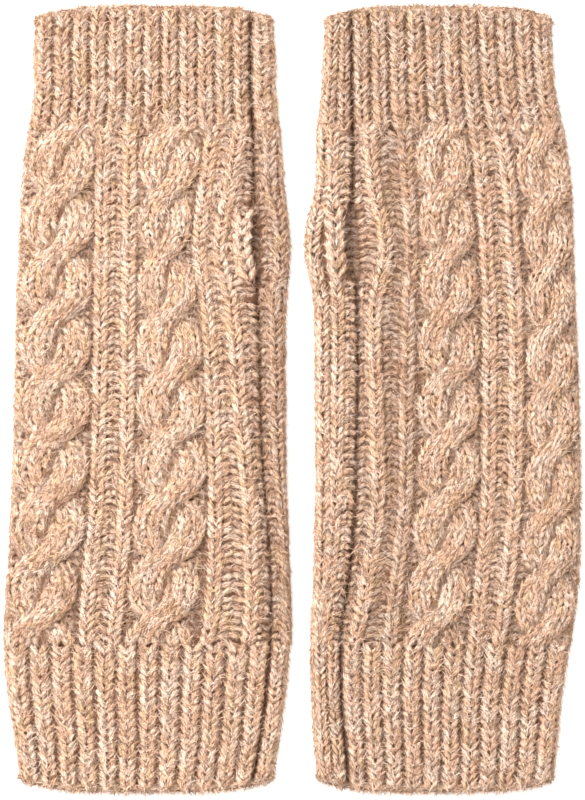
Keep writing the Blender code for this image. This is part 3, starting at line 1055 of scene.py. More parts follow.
@dataclass(frozen=True)
class RibPlan:
    """Columns that a zone of one mitten is knitted in."""

    shape: MittenShape
    knit_half: float = 3.5
    column_gap: float = 0.15
    ladder_overlap: float = 0.25
    rib_reach: float = 2.9
    edge_reach: float = 2.4
    groove_reach: float = 3.0
    # How much painted shade darkens the column and ladder in the valley
    valley_painted_shade: float = 0.4
    fold_places: tuple[float, float] = (4.3, 8.9)
    fold_half: float = 2.55
    fold_lift: float = -0.85
    thumb_half: float = 3.1
    lip_half: float = 4.3
    under_pitch: float = 6.6
    under_margin: float = 2.2
    under_lift: float = -0.35
    far_edge_inset: float = 0.4
    face_edge_inset: float = 0.55
    face_edge_opening: float = 1.2
    bumps_inset: float = 0.6
    lip_inset: float = 0.6
    lip_opening: float = 1.1
    inside_half: float = 2.9
    inside_ends: tuple[float, float] = (0.5, 1.0)
    lip_ends: tuple[float, float] = (3.0, 6.0)
    rolled_ends: tuple[float, float] = (2.0, 3.0)
    plain_ends: tuple[float, float] = (1.0, 2.0)
    bumps_ends: tuple[float, float] = (2.0, 2.0)

    def track(self, number: Track, shift: float = 0.0) -> Curve:
        """Where one named line runs, with a shift away from the seam."""
        side = self.shape.side
        return lambda y: self.shape.tracks.read(y)[number] + side * shift

    def folds(self) -> list[Column]:
        """Plan the columns that wrap both folds.

        Returns:
            The columns.
        """
        shape = self.shape
        half = steady(self.fold_half)
        columns = []
        for place in self.fold_places:
            for edge, turn in ((0, shape.side), (2, -shape.side)):
                past = turn * (place - FOLD_REACH)
                centre = lambda y, e=edge, p=past: shape.edges(y)[e] + p
                columns.append(Column(StitchKind.KNIT, centre, half, self.fold_lift))
        return columns

    def under_room(self, y: Places) -> Places:
        """Width of the underside between the columns that wrap the folds."""
        far, _, near = self.shape.edges(y)
        return np.abs(far - near) - 2.0 * FOLD_REACH - 2.0 * self.under_margin

    def under_centre(self, y: Places, share: float) -> Places:
        """Find the line of one column of the underside.

        Args:
            y: places along the mitten.
            share: how far across the underside the column runs.

        Returns:
            Places across the unrolled tube.
        """
        far, _, near = self.shape.edges(y)
        side = self.shape.side
        far_start = far - side * FOLD_REACH
        near_start = near + side * FOLD_REACH
        first = far_start - side * self.under_margin
        last = near_start + side * self.under_margin
        x = first + (last - first) * share
        return 2.0 * far_start + side * (UPPER_ARC + LOWER_ARC) - x

    def underside(self) -> list[Column]:
        """Plan the pressed columns of the layer that the mitten lies on.

        Returns:
            The columns.
        """
        count = round(float(self.under_room(np.array([0.0]))[0]) / self.under_pitch)
        columns = []
        for number in range(count):
            centre = lambda y, s=(number + 0.5) / count: self.under_centre(y, s)
            half = lambda y: 0.5 * self.under_room(y) / count - self.column_gap
            columns.append(Column(StitchKind.PRESSED, centre, half, self.under_lift))
        return columns

    def face_pitch(self, y: Places) -> Places:
        """Width of one rib of a cuff on the face, signed away from the seam."""
        far_start = self.shape.edges(y)[0] - self.shape.side * FACE_START
        return (far_start - self.shape.seam_edges(y)[0]) / self.shape.face_ribs

    def side_pitch(self, y: Places) -> Places:
        """Width of one rib of a cuff beside the thumb, signed towards the face."""
        near_start = self.shape.edges(y)[2] + self.shape.side * FACE_START
        return (self.shape.seam_edges(y)[1] - near_start) / self.shape.side_ribs

    def cuff(self, unshaded: float) -> list[Column]:
        """Plan the even ribs of a cuff, on the face and beside the thumb.

        Args:
            unshaded: share of light the ribs keep under painted shade.

        Returns:
            The columns.
        """
        columns = []
        for edge, way, ribs, pitch in (
            (0, 1.0, self.shape.face_ribs, self.face_pitch),
            (1, -1.0, self.shape.side_ribs, self.side_pitch),
        ):
            half = lambda y, p=pitch: 0.5 * np.abs(p(y)) - self.column_gap
            for rib in range(ribs):
                place = way * (rib + 0.5)
                centre = lambda y, e=edge, n=place, p=pitch: self.shape.seam_edges(y)[e] + n * p(y)
                columns.append(Column(StitchKind.KNIT, centre, half, unshaded=unshaded))
        return columns

    def hand(self) -> list[Column]:
        """Plan the ribs, ladders and edges of the hand, without its cables.

        Returns:
            The columns.
        """
        shape = self.shape
        knit = steady(self.knit_half)
        free_lines = (Track.OUTER_RIB, Track.INNER_RIB, Track.EDGE_LINE)
        columns = [Column(StitchKind.KNIT, self.track(line), knit) for line in free_lines]
        # Painted shade: the column and ladder in the valley keep less light
        light_in_shade = 1.0 - self.valley_painted_shade * shape.valley
        knit_line = self.track(Track.KNIT_LINE)
        columns.append(Column(StitchKind.KNIT, knit_line, knit, -shape.valley, light_in_shade))
        reach = self.rib_reach
        far_edge = lambda y: shape.edges(y)[0] + shape.side * self.far_edge_inset
        # Ladders lie low and keep a little less light, as painted shade
        columns += [
            self.ladder(
                self.track(Track.OUTER_RIB, -reach),
                self.track(Track.INNER_RIB, reach),
                lift=-0.3,
                unshaded=0.86,
            ),
            self.ladder(
                self.track(Track.KNIT_LINE, -reach),
                self.track(Track.EDGE_LINE, reach),
                lift=-0.3 - shape.valley,
                unshaded=0.86 * light_in_shade,
            ),
            self.ladder(
                self.track(Track.EDGE_LINE, -self.edge_reach), self.face_edge, lift=-0.6, unshaded=0.85
            ),
            self.ladder(self.track(Track.OUTER_CABLE_START), far_edge, lift=-0.45, unshaded=0.85),
        ]
        # Ladders in the grooves beside the cables keep less light, as painted shade
        for cable, rib, away in GROOVES:
            rib_edge = self.track(rib, away * self.groove_reach)
            columns.append(self.ladder(self.track(cable), rib_edge, lift=-0.95, unshaded=0.6))
        return columns + self.thumb_side()

    def ladder(self, start: Curve, end: Curve, lift: float, unshaded: float) -> Column:
        """Fill the room between two lines with low bumps.

        Args:
            start: the first line.
            end: the second line.
            lift: height of the bumps over the plain cloth.
            unshaded: share of light the bumps keep, lower where shade is painted.

        Returns:
            The column of bumps.
        """
        return Column(
            StitchKind.PURL,
            lambda y: 0.5 * (start(y) + end(y)),
            lambda y: 0.5 * np.abs(end(y) - start(y)) + self.ladder_overlap,
            lift,
            unshaded,
        )

    def face_edge(self, y: Places) -> Places:
        """Edge of the last ladder beside the seam, drawn back from the thumb opening."""
        back = self.face_edge_inset - self.face_edge_opening * self.shape.opening(y)
        return self.shape.seam_edges(y)[0] + self.shape.side * back

    def lip_line(self, y: Places) -> Places:
        """Line of the lip that is rolled onto the face beside the thumb opening."""
        back = self.lip_inset + self.lip_opening * self.shape.opening(y)
        return self.shape.seam_edges(y)[0] + self.shape.side * back

    def thumb_column(self, y: Places) -> Places:
        """Line of the knit column between the seam and the near fold."""
        closed, opened = self.shape.thumb_line
        back = closed + opened * self.shape.opening(y)
        return self.shape.seam_edges(y)[1] - self.shape.side * back

    def thumb_side(self) -> list[Column]:
        """Plan the columns between the seam and the near fold, and the rolled lip.

        Returns:
            The columns.
        """
        shape = self.shape
        side = shape.side
        low = shape.thumb_middle - shape.thumb_half_length
        high = shape.thumb_middle + shape.thumb_half_length
        plain = Column(
            StitchKind.KNIT,
            self.thumb_column,
            steady(self.thumb_half),
            lift=0.1,
            unshaded=0.7 if shape.lip_on_face else 1.0,
        )
        rolled = replace(plain, half=steady(self.lip_half), lift=1.0, unshaded=1.0, stout=1.5)
        # Painted shade: the inside of the thumb opening keeps half its light
        inside = Column(
            StitchKind.PURL,
            lambda y: shape.edges(y)[1],
            steady(self.inside_half),
            lift=INNER_LOW - FACE_HEIGHT,
            unshaded=0.5,
            lowest=low + self.inside_ends[0],
            highest=high - self.inside_ends[1],
        )
        inland = lambda y: self.thumb_column(y) + side * self.edge_reach
        bumps_end = lambda y: shape.seam_edges(y)[1] - side * self.bumps_inset
        if shape.lip_on_face:
            start, end = self.lip_ends
            lip = replace(rolled, centre=self.lip_line, lowest=low + start, highest=high - end)
            return [plain, lip, inside, self.ladder(inland, bumps_end, lift=-0.5, unshaded=0.75)]
        bumps = self.ladder(inland, bumps_end, lift=-0.3, unshaded=1.0)
        fold_line = lambda y: shape.edges(y)[2] + side * FOLD_REACH
        start, end = self.rolled_ends
        return [
            replace(bumps, highest=low + self.bumps_ends[0]),
            replace(bumps, lowest=high - self.bumps_ends[1]),
            replace(plain, highest=low + self.plain_ends[0]),
            replace(plain, lowest=high - self.plain_ends[1]),
            replace(rolled, lowest=low + start, highest=high - end),
            Column(StitchKind.KNIT, fold_line, steady(self.thumb_half), lift=-0.1),
            inside,
        ]


@dataclass(frozen=True)
class NodeMaker:
    """Maker of the nodes of one tree."""

    tree: Tree

    def fill(self, node: bpy.types.Node, inputs: dict) -> None:
        """Fill the inputs of a node.

        Args:
            node: the node.
            inputs: a value, or the socket that is joined to it, for each input.
        """
        for name, value in inputs.items():
            if isinstance(value, Socket):
                self.tree.links.new(value, node.inputs[name])
            else:
                node.inputs[name].default_value = value

    def add(self, kind: str, inputs: dict, **settings: object) -> bpy.types.Node:
        """Add a node.

        Args:
            kind: its type.
            inputs: a value, or the socket that is joined to it, for each input.
            **settings: its own settings.

        Returns:
            The node.
        """
        node = self.tree.nodes.new(kind)
        for name, value in settings.items():
            setattr(node, name, value)
        self.fill(node, inputs)
        return node

    def place(self) -> Socket:
        """Place of each point on its object."""
        return self.add("ShaderNodeTexCoord", {}).outputs["Object"]

    def noise(self, place: Socket, scale: tuple[float, ...], detail: float) -> Socket:
        """Make a noise that may be stretched.

        Args:
            place: where the noise is read.
            scale: how fine it is along each axis.
            detail: how much finer noise is in it.

        Returns:
            The noise.
        """
        stretched = self.add("ShaderNodeVectorMath", {0: place, 1: scale}, operation="MULTIPLY")
        vector = stretched.outputs["Vector"]
        inputs = {"Vector": vector, "Scale": 1.0, "Detail": detail, "Roughness": 0.6}
        return self.add("ShaderNodeTexNoise", inputs).outputs["Fac"]

    def calc(self, operation: str, *values: Socket | float) -> Socket:
        """One sum on values that change over the yarn."""
        node = self.add("ShaderNodeMath", dict(enumerate(values)), operation=operation)
        return node.outputs["Value"]

    def ranged(self, value: Socket, band: Band) -> Socket:
        """Bring a value from a band to a share, and hold it there.

        Args:
            value: the value.
            band: where the share is 0, where it is full, and the full share.

        Returns:
            The share.
        """
        empty, full, most = band
        inputs = {"Value": value, "From Min": empty, "From Max": full, "To Max": most}
        return self.add("ShaderNodeMapRange", inputs).outputs["Result"]

    def mixed(self, share: Socket, first: Socket, second: Socket) -> Socket:
        """Two colours mixed by a share."""
        inputs = {"Factor": share, 6: first, 7: second}
        return self.add("ShaderNodeMix", inputs, data_type="RGBA").outputs[2]


@dataclass(frozen=True)
class WoolFinish:
    """Colours of one mitten's marled wool, and how it takes the light."""

    name: str
    pale: Colour
    tan: Colour
    rust: Colour
    ochre: Colour
    # Dark brown that painted shade mixes in, in crevices and in gaps between fibres
    shade: Colour
    # How far painted shade darkens the stitches, and the ground under them, towards that dark brown
    painted_shade: float = 0.86
    ground_painted_shade: float = 0.92
    ground_tone: float = 0.6
    bump: float = 0.35
    bump_depth: float = 0.4
    roughness: float = 0.88
    gloss: float = 0.06
    sheen: float = 0.2
    sheen_roughness: float = 0.55
    sheen_tint: Colour = (1.0, 0.8, 0.62)

    def stitches(self, group: Tree) -> bpy.types.Material:
        """Make the wool of the yarn, patterned by what its pieces carry.

        Args:
            group: the marled yarn.

        Returns:
            The material.
        """
        material = bpy.data.materials.new(self.name)
        material.use_nodes = True
        maker = NodeMaker(material.node_tree)
        given = {"Place": maker.place(), "Painted_shade": self.painted_shade}
        for title, output in (("strand", "Vector"), ("tone", "Fac"), ("crest", "Fac")):
            reader = maker.add("ShaderNodeAttribute", {}, attribute_name=title)
            given[title.capitalize()] = reader.outputs[output]
        self.dress(maker, group, given)
        return material

    def ground(self, group: Tree) -> bpy.types.Material:
        """Make the cloth under the stitches, patterned by its own place and painted mostly in the
        shade colour as painted shade between the stitches.

        Args:
            group: the marled yarn.

        Returns:
            The material.
        """
        material = bpy.data.materials.new(self.name + "_ground")
        material.use_nodes = True
        maker = NodeMaker(material.node_tree)
        place = maker.place()
        strand = maker.add("ShaderNodeVectorMath", {0: place, "Scale": 1.0 / MM}, operation="SCALE")
        given = {
            "Place": place,
            "Strand": strand.outputs["Vector"],
            "Tone": self.ground_tone,
            "Crest": 0.0,
            "Painted_shade": self.ground_painted_shade,
        }
        self.dress(maker, group, given)
        return material

    def dress(self, maker: NodeMaker, group: Tree, given: dict) -> None:
        """Join the yarn to the shader and set both.

        Args:
            maker: maker of the material's nodes.
            group: the marled yarn.
            given: what the yarn is given, for each of its inputs but the colours.
        """
        for title in ("pale", "tan", "rust", "ochre", "shade"):
            given[title.capitalize()] = (*getattr(self, title), 1.0)
        yarn = maker.add("ShaderNodeGroup", given, node_tree=group)
        relief = {
            "Height": yarn.outputs["Height"],
            "Strength": self.bump,
            "Distance": self.bump_depth * MM,
        }
        finish = {
            "Base Color": yarn.outputs["Colour"],
            "Normal": maker.add("ShaderNodeBump", relief).outputs["Normal"],
            "Roughness": self.roughness,
            "Specular IOR Level": self.gloss,
            "Sheen Weight": self.sheen,
            "Sheen Roughness": self.sheen_roughness,
            "Sheen Tint": (*self.sheen_tint, 1.0),
        }
        maker.fill(maker.tree.nodes["Principled BSDF"], finish)


@dataclass(frozen=True)
class MarledYarn:
    """Streaks and patches of unlike fibres spun together, with painted shade mixed in.

    Each scale is how fine a noise is along each axis. Each band is where in its
    noise a colour starts, where it is full, and its full share.
    """

    streaks: tuple[float, float, float] = (1.9, 0.2, 1.0)
    patches: tuple[float, float, float] = (150.0, 330.0, 150.0)
    flecks: tuple[float, float, float] = (1.1, 0.13, 1.0)
    ochres: tuple[float, float, float] = (230.0, 140.0, 230.0)
    tone_weight: float = 0.4
    spin: float = 0.28
    warm: Band = (0.54, 0.84, 1.0)
    rusty: Band = (0.53, 0.66, 0.85)
    yellow: Band = (0.5, 0.66, 0.65)
    # Streaks darkened towards the shade colour: darker fibres and painted shadow in the gaps between
    # fibres
    dark_and_gap_shade: Band = (0.46, 0.34, 0.75)
    light: Band = (0.54, 0.65, 0.8)
    # Painted shade: how far the colour goes towards the shade colour as its painted light falls
    in_shade: Band = (0.95, 0.1, 1.0)

    def group(self) -> Tree:
        """Build the node group that both mittens' wools share.

        Returns:
            The group.
        """
        tree = bpy.data.node_groups.new("Marled yarn", "ShaderNodeTree")
        for titles, way, kind in (
            (("Strand", "Place"), "INPUT", "NodeSocketVector"),
            (("Tone", "Crest", "Painted_shade"), "INPUT", "NodeSocketFloat"),
            (("Pale", "Tan", "Rust", "Ochre", "Shade"), "INPUT", "NodeSocketColor"),
            (("Colour",), "OUTPUT", "NodeSocketColor"),
            (("Height",), "OUTPUT", "NodeSocketFloat"),
        ):
            for title in titles:
                tree.interface.new_socket(title, in_out=way, socket_type=kind)
        maker = NodeMaker(tree)
        given = maker.add("NodeGroupInput", {}).outputs
        twisted = self.twist(maker, given["Strand"])
        streak = maker.noise(twisted, self.streaks, detail=3.0)
        patch = maker.noise(given["Place"], self.patches, detail=3.0)
        fleck = maker.noise(twisted, self.flecks, detail=2.0)
        golden = maker.noise(given["Place"], self.ochres, detail=2.0)
        toned = maker.calc("MULTIPLY_ADD", given["Tone"], self.tone_weight, patch)
        # Painted shade: where the yarn keeps little light, its colour is mixed towards the shade
        # colour
        in_shade = maker.ranged(given["Crest"], self.in_shade)
        shade_share = maker.calc("MULTIPLY", in_shade, given["Painted_shade"])
        colour = maker.mixed(maker.ranged(toned, self.warm), given["Pale"], given["Tan"])
        colour = maker.mixed(maker.ranged(golden, self.yellow), colour, given["Ochre"])
        colour = maker.mixed(maker.ranged(fleck, self.rusty), colour, given["Rust"])
        colour = maker.mixed(maker.ranged(streak, self.light), colour, given["Pale"])
        # Dark streaks: darker fibres and painted shadow in the gaps between fibres
        colour = maker.mixed(maker.ranged(streak, self.dark_and_gap_shade), colour, given["Shade"])
        colour = maker.mixed(shade_share, colour, given["Shade"])
        maker.add("NodeGroupOutput", {"Colour": colour, "Height": streak})
        return tree

    def twist(self, maker: NodeMaker, strand: Socket) -> Socket:
        """Lean the fibres round the yarn, as spinning does.

        Args:
            maker: maker of the group's nodes.
            strand: place on the yarn: round it, along it and from yarn to yarn.

        Returns:
            The leant place.
        """
        parts = maker.add("ShaderNodeSeparateXYZ", {0: strand}).outputs
        leant = maker.calc("MULTIPLY_ADD", parts["Y"], self.spin, parts["X"])
        leant_place = {"X": leant, "Y": parts["Y"], "Z": parts["Z"]}
        return maker.add("ShaderNodeCombineXYZ", leant_place).outputs["Vector"]


@dataclass(frozen=True)
class Litter:
    """Short wide bearers that loose fibres stand on."""

    width: float
    thick: float
    # Share of light the bearers' fibres keep under painted shade
    unshaded: float

    def arms(
        self,
        shape: MittenShape,
        root: tuple[Places, Places, Places],
        head: tuple[Places, Places, Places],
    ) -> Arms:
        """Lay the bearers between two lists of places, as lay_arms takes them."""
        sizes = (np.full(len(root[0]), size) for size in (self.width, self.thick, self.unshaded))
        return lay_arms(shape, root, head, 0.0, *sizes)


@dataclass(frozen=True)
class BoundEdge:
    """Chain of stitches along the open end of a cuff."""

    inset: float = 1.6
    uneven: float = 0.15
    overlap: float = 0.6
    highest: float = -0.2
    sink: float = 0.4
    lean: float = 0.1
    climb: float = 0.3
    width: float = 1.8
    thick: float = 2.0
    # Share of light the chain keeps under painted shade
    unshaded: float = 0.8

    def arms(
        self, shape: MittenShape, zone: Zone, columns: list[Column], draws: Draws
    ) -> list[Arms]:
        """Lay two stitches over the end of each column.

        Args:
            shape: the mitten that the chain lies on.
            zone: the cuff that it ends.
            columns: the columns that it binds.
            draws: source of the small unevenness.

        Returns:
            The stitches over each column.
        """
        end, out = zone.open_end()
        chain = []
        for column in columns:
            y = np.full(2, end - out * self.inset) + draws.normal(0.0, self.uneven, 2)
            centre = column.centre(y)
            half = column.half(y) + self.overlap
            lift = np.full(2, min(column.lift, self.highest) - self.sink)
            left = centre - half * np.array([1.0, self.lean])
            right = centre + half * np.array([self.lean, 1.0])
            sizes = (np.full(2, size) for size in (self.width, self.thick, self.unshaded))
            root = (left, y, lift)
            chain.append(lay_arms(shape, root, (right, y + self.climb, lift), 0.0, *sizes))
        return chain


@dataclass(frozen=True)
class KnittedZone:
    """One zone of a mitten: its ground, its stitches and its nap."""

    shape: MittenShape
    zone: Zone
    seed: int
    face_drop: ArmForm = ArmForm(girth_steps=6, length_steps=4)
    pressed_drop: ArmForm = ArmForm(girth_steps=5, length_steps=3, bulge=0.0)
    nap: Nap = Nap()
    bound_edge: BoundEdge = BoundEdge()
    row_start: float = 0.3
    finger_margin: float = 3.6
    wrist_margin: float = 0.9
    # Painted shade: the share of light the ribs of each cuff keep
    finger_bare: float = 0.83
    wrist_bare: float = 0.95
    cloth_sink: float = 0.78
    under_sink: float = 0.5
    relief_kept: float = 0.45
    # Fibres between the stitches keep about half their light, as painted shade
    crevice: Litter = Litter(width=2.2, thick=0.44, unshaded=0.55)
    crevice_area: float = 5.0
    crevice_margin: float = 1.5
    crevice_inset: float = 0.02
    fringe: Litter = Litter(width=1.5, thick=0.45, unshaded=0.9)
    fringe_count: int = 1000
    fringe_inset: tuple[float, float] = (1.2, 2.5)
    fringe_outset: float = 0.03
    fringe_lift: tuple[float, float] = (-1.6, 0.4)
    fringe_reach: float = 1.6
    fringe_stray: float = 0.5
    fringe_droop: float = 0.3
    flat_samples: int = 9

    @property
    def node(self) -> str:
        """Name of the solid that this zone dresses."""
        return f"{self.shape.name}_{self.zone.value}"

    @property
    def is_cuff(self) -> bool:
        """Whether the zone has an open end."""
        return self.zone is not Zone.CABLE_HAND

    def rows(self) -> Places:
        """Find the places of the knitted rows.

        Returns:
            Places along the mitten.
        """
        low, high = self.zone.span()
        if self.zone is Zone.FINGER_CUFF:
            high -= self.finger_margin
        if self.zone is Zone.WRIST_CUFF:
            low += self.wrist_margin
        return np.arange(low + self.row_start, high, ROW_PITCH)

    def ground(self) -> bpy.types.Object:
        """Copy the solid and draw its outer side in, to lie under the stitches.

        Returns:
            The ground.
        """
        source = bpy.data.objects[self.node]
        cloth = bmesh.new()
        cloth.from_mesh(source.data)
        bmesh.ops.remove_doubles(cloth, verts=cloth.verts, dist=1e-6)
        points = np.array([vertex.co for vertex in cloth.verts]) / MM
        for vertex, place in zip(cloth.verts, self.sunk(points)):
            vertex.co = place * MM
        mesh = bpy.data.meshes.new(self.node + "_ground")
        cloth.to_mesh(mesh)
        cloth.free()
        mesh.shade_smooth()
        return add_object(self.node + "_ground", mesh)

    def sunk(self, points: Points) -> Points:
        """Draw the outer side of the solid in.

        Args:
            points: the solid's points.

        Returns:
            The points of the ground.
        """
        x, y, z = points.T
        far, _, near = self.shape.edges(y)
        near_side = np.abs(x - near) < np.abs(x - far)
        turn = np.where(near_side, -self.shape.side, self.shape.side)
        inset = np.minimum(np.abs(x - near), np.abs(x - far))
        inner = (z > INNER_LOW) & (z < INNER_HIGH) & (inset > INNER_INSET)
        lean = 1.0 - np.minimum(1.0, inset / FOLD_REACH)
        above = z > MIDDLE
        plain = MIDDLE + (FACE_HEIGHT - MIDDLE) * np.sqrt(1.0 - lean**2)
        relief = np.maximum(0.0, z - plain)
        upper_x = x - turn * self.cloth_sink * lean
        upper_z = z - self.cloth_sink * np.sqrt(1.0 - lean**2) - relief * (1.0 - self.relief_kept)
        upper_z = np.maximum(INNER_HIGH, upper_z - self.shape.seam_drop(x, y))
        drop = np.clip(1.0 - z / MIDDLE, 0.0, 1.0)
        lower_x = x - turn * self.cloth_sink * np.sqrt(1.0 - drop**2)
        lower_z = z + self.under_sink * drop
        new_x = np.where(above, upper_x, lower_x)
        new_z = np.where(above, upper_z, lower_z)
        return np.stack((np.where(inner, x, new_x), y, np.where(inner, z, new_z)), axis=1)

    def crevices(self, draws: Draws) -> Arms:
        """Spread bearers all over the ground, and along the open end of a cuff.

        Args:
            draws: source of their places.

        Returns:
            The bearers of the fibres that show between stitches.
        """
        low, high = self.zone.span()
        far, _, near = self.shape.edges(np.array([low, high]))
        count = int((high - low) * float(np.mean(np.abs(far - near))) / self.crevice_area)
        y = draws.uniform(low + self.crevice_margin, high - self.crevice_margin, count)
        far, seam, near = self.shape.edges(y)
        inset = self.crevice_inset
        x = far + (near - far) * draws.uniform(inset, 1.0 - inset, count)
        inside = np.abs(x - seam) < 0.5 * THUMB_GAP * self.shape.opening(y)
        turn = draws.uniform(0.0, math.pi, count)
        lift = np.where(inside, INNER_LOW - FACE_HEIGHT, -self.cloth_sink)
        reach = self.crevice.width
        head = (x + reach * np.cos(turn), y + reach * np.sin(turn), lift)
        bearers = [self.crevice.arms(self.shape, (x, y, lift), head)]
        if self.is_cuff:
            bearers.append(self.open_fringe(draws))
        return Arms.joined(bearers)

    def open_fringe(self, draws: Draws) -> Arms:
        """Spread bearers along the open end of the cuff.

        Args:
            draws: source of their places.

        Returns:
            The bearers of the fibres that stick out there.
        """
        end, out = self.zone.open_end()
        y = end - out * draws.uniform(*self.fringe_inset, self.fringe_count)
        far, _, near = self.shape.edges(y)
        outset = self.fringe_outset
        x = far + (near - far) * draws.uniform(-outset, 1.0 + outset, len(y))
        lift = draws.uniform(*self.fringe_lift, len(y))
        head_x = x + draws.normal(0.0, self.fringe_stray, len(y))
        head = (head_x, y + self.fringe_reach * out, lift - self.fringe_droop)
        return self.fringe.arms(self.shape, (x, y, lift), head)

    def face_columns(self, plan: RibPlan) -> list[Column]:
        """Plan the columns of the upper face and both folds.

        Args:
            plan: the mitten's plan.

        Returns:
            The columns.
        """
        if self.is_cuff:
            unshaded = self.finger_bare if self.zone is Zone.FINGER_CUFF else self.wrist_bare
            return plan.cuff(unshaded) + plan.folds()
        return plan.hand() + plan.folds()

    def cables(self) -> list[Cable]:
        """Both rope cables of the hand."""
        outer = Cable(Track.OUTER_CABLE_START, Track.OUTER_CABLE_END, self.shape.outer_crossing)
        inner = Cable(Track.INNER_CABLE_START, Track.INNER_CABLE_END, self.shape.inner_crossing)
        return [outer, inner]

    def knitted(self, draws: Draws) -> tuple[Arms, Arms]:
        """Knit both layers.

        Args:
            draws: source of the small unevenness.

        Returns:
            The arms of the upper face and those of the underside.
        """
        shape = self.shape
        plan = RibPlan(shape)
        rows = self.rows()
        face = self.face_columns(plan)
        upper = [column.arms(shape, rows, draws) for column in face]
        if self.is_cuff:
            upper += self.bound_edge.arms(shape, self.zone, face, draws)
        else:
            upper += [cable.arms(shape, rows, draws) for cable in self.cables()]
        pressed = plan.underside()
        lower = [column.arms(shape, rows, draws) for column in pressed]
        if self.is_cuff:
            lower += self.bound_edge.arms(shape, self.zone, pressed, draws)
        return Arms.joined(upper), Arms.joined(lower)

    def build(self, wool: bpy.types.Material, ground_wool: bpy.types.Material) -> None:
        """Args:
            wool: finish of the stitches and the nap.
            ground_wool: finish of the cloth under them.
        """
        draws = np.random.default_rng(self.seed)
        top, under = self.knitted(draws)
        tones = top.tones(draws)
        cloth = self.ground()
        stitches = self.face_drop.copies(
            self.node + "_stitches", self.shape, top, tones, self.seed + 1
        )
        pressed = self.pressed_drop.copies(
            self.node + "_underside", self.shape, under, under.tones(draws), self.seed + 2
        )
        fibres = self.nap.fibres(
            self.node + "_nap", self.shape, top, tones, self.crevices(draws), self.seed + 3
        )
        cloth.data.materials.append(ground_wool)
        for piece in (stitches, pressed, fibres):
            piece.data.materials.append(wool)
        for piece in (cloth, stitches, pressed, fibres):
            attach(piece, BODY)
            self.zone.slot(self.shape.name)
            log.info("%s: %d faces", piece.name, len(piece.data.polygons))
        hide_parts(self.node)
        self.flat_size()

    def flat_size(self) -> tuple[float, float]:
        """Measure the zone's cloth when it is opened out.

        Returns:
            Width round the tube and length of the zone, in metres.
        """
        low, high = self.zone.span()
        far, _, near = self.shape.edges(np.linspace(low, high, self.flat_samples))
        round_tube = 2.0 * float(np.mean(np.abs(far - near)))
        return round_tube * MM, (high - low) * MM


@dataclass(frozen=True)
class Mitten:
    """One mitten of the pair."""

    shape: MittenShape
    finish: WoolFinish
    seed: int
    seed_step: int = 10

    def build(self, yarn: Tree) -> None:
        """Make the three zones.

        Args:
            yarn: the marled yarn.
        """
        wool = self.finish.stitches(yarn)
        ground = self.finish.ground(yarn)
        for number, zone in enumerate(Zone):
            seed = self.seed + self.seed_step * number
            KnittedZone(self.shape, zone, seed).build(wool, ground)


@dataclass(frozen=True)
class SoftLight:
    """One soft light that points at the pair, placed in metres."""

    name: str
    place: tuple[float, float, float]
    power: float
    size: float = 1.2

    def hang(self) -> None:
        """Hang the light over the table."""
        data = bpy.data.lights.new(self.name, "AREA")
        data.energy = self.power
        data.size = self.size
        light = add_object(self.name, data)
        light.location = self.place
        light.rotation_euler = (-light.location).to_track_quat("-Z", "Y").to_euler()


@dataclass(frozen=True)
class Studio:
    """White table, soft lights and a camera that looks straight down."""

    view_height: float = 308.0
    view_x: float = 0.19
    view_y: float = -0.39
    lens: float = 100.0
    sensor: float = 36.0
    nearest: float = 10.0
    floor_size: float = 6000.0
    floor_drop: float = 0.2
    floor_white: float = 0.9
    floor_glow: float = 0.6
    key: SoftLight = SoftLight("key_light", (-0.75, 0.65, 1.0), 44.5)
    fill: SoftLight = SoftLight("fill_light", (0.9, -0.4, 0.9), 3.0)
    sky: float = 0.745
    sky_colour: Colour = (1.0, 0.885, 0.78)

    def camera(self) -> None:
        """Set the camera over the pair."""
        data = bpy.data.cameras.new("camera")
        data.lens = self.lens
        data.sensor_width = self.sensor
        data.clip_start = self.nearest * MM
        camera = add_object("camera", data)
        distance = self.view_height * self.lens / self.sensor
        camera.location = (self.view_x * MM, self.view_y * MM, (distance + FACE_HEIGHT) * MM)
        bpy.context.scene.camera = camera

    def floor(self) -> None:
        """Lay a white table that shows a faint shadow."""
        shape = bmesh.new()
        half = 0.5 * self.floor_size * MM
        bmesh.ops.create_grid(shape, x_segments=1, y_segments=1, size=half)
        mesh = bpy.data.meshes.new("table")
        shape.to_mesh(mesh)
        shape.free()
        table = add_object("table", mesh)
        table.location.z = -self.floor_drop * MM
        material = bpy.data.materials.new("white_table")
        material.use_nodes = True
        maker = NodeMaker(material.node_tree)
        seen = maker.add("ShaderNodeLightPath", {}).outputs["Is Camera Ray"]
        finish = {
            "Base Color": (self.floor_white, self.floor_white, self.floor_white, 1.0),
            "Roughness": 0.9,
            "Specular IOR Level": 0.0,
            "Emission Color": (self.floor_glow, self.floor_glow, self.floor_glow, 1.0),
            "Emission Strength": seen,
        }
        maker.fill(material.node_tree.nodes["Principled BSDF"], finish)
        mesh.materials.append(material)

    def lights(self) -> None:
        """Hang a soft light to the upper left, a weak one opposite, and the sky."""
        self.key.hang()
        self.fill.hang()
        world = bpy.data.worlds.new("studio")
        world.use_nodes = True
        background = world.node_tree.nodes["Background"]
        background.inputs["Color"].default_value = (*self.sky_colour, 1.0)
        background.inputs["Strength"].default_value = self.sky
        bpy.context.scene.world = world
        bpy.context.scene.view_settings.view_transform = "Standard"


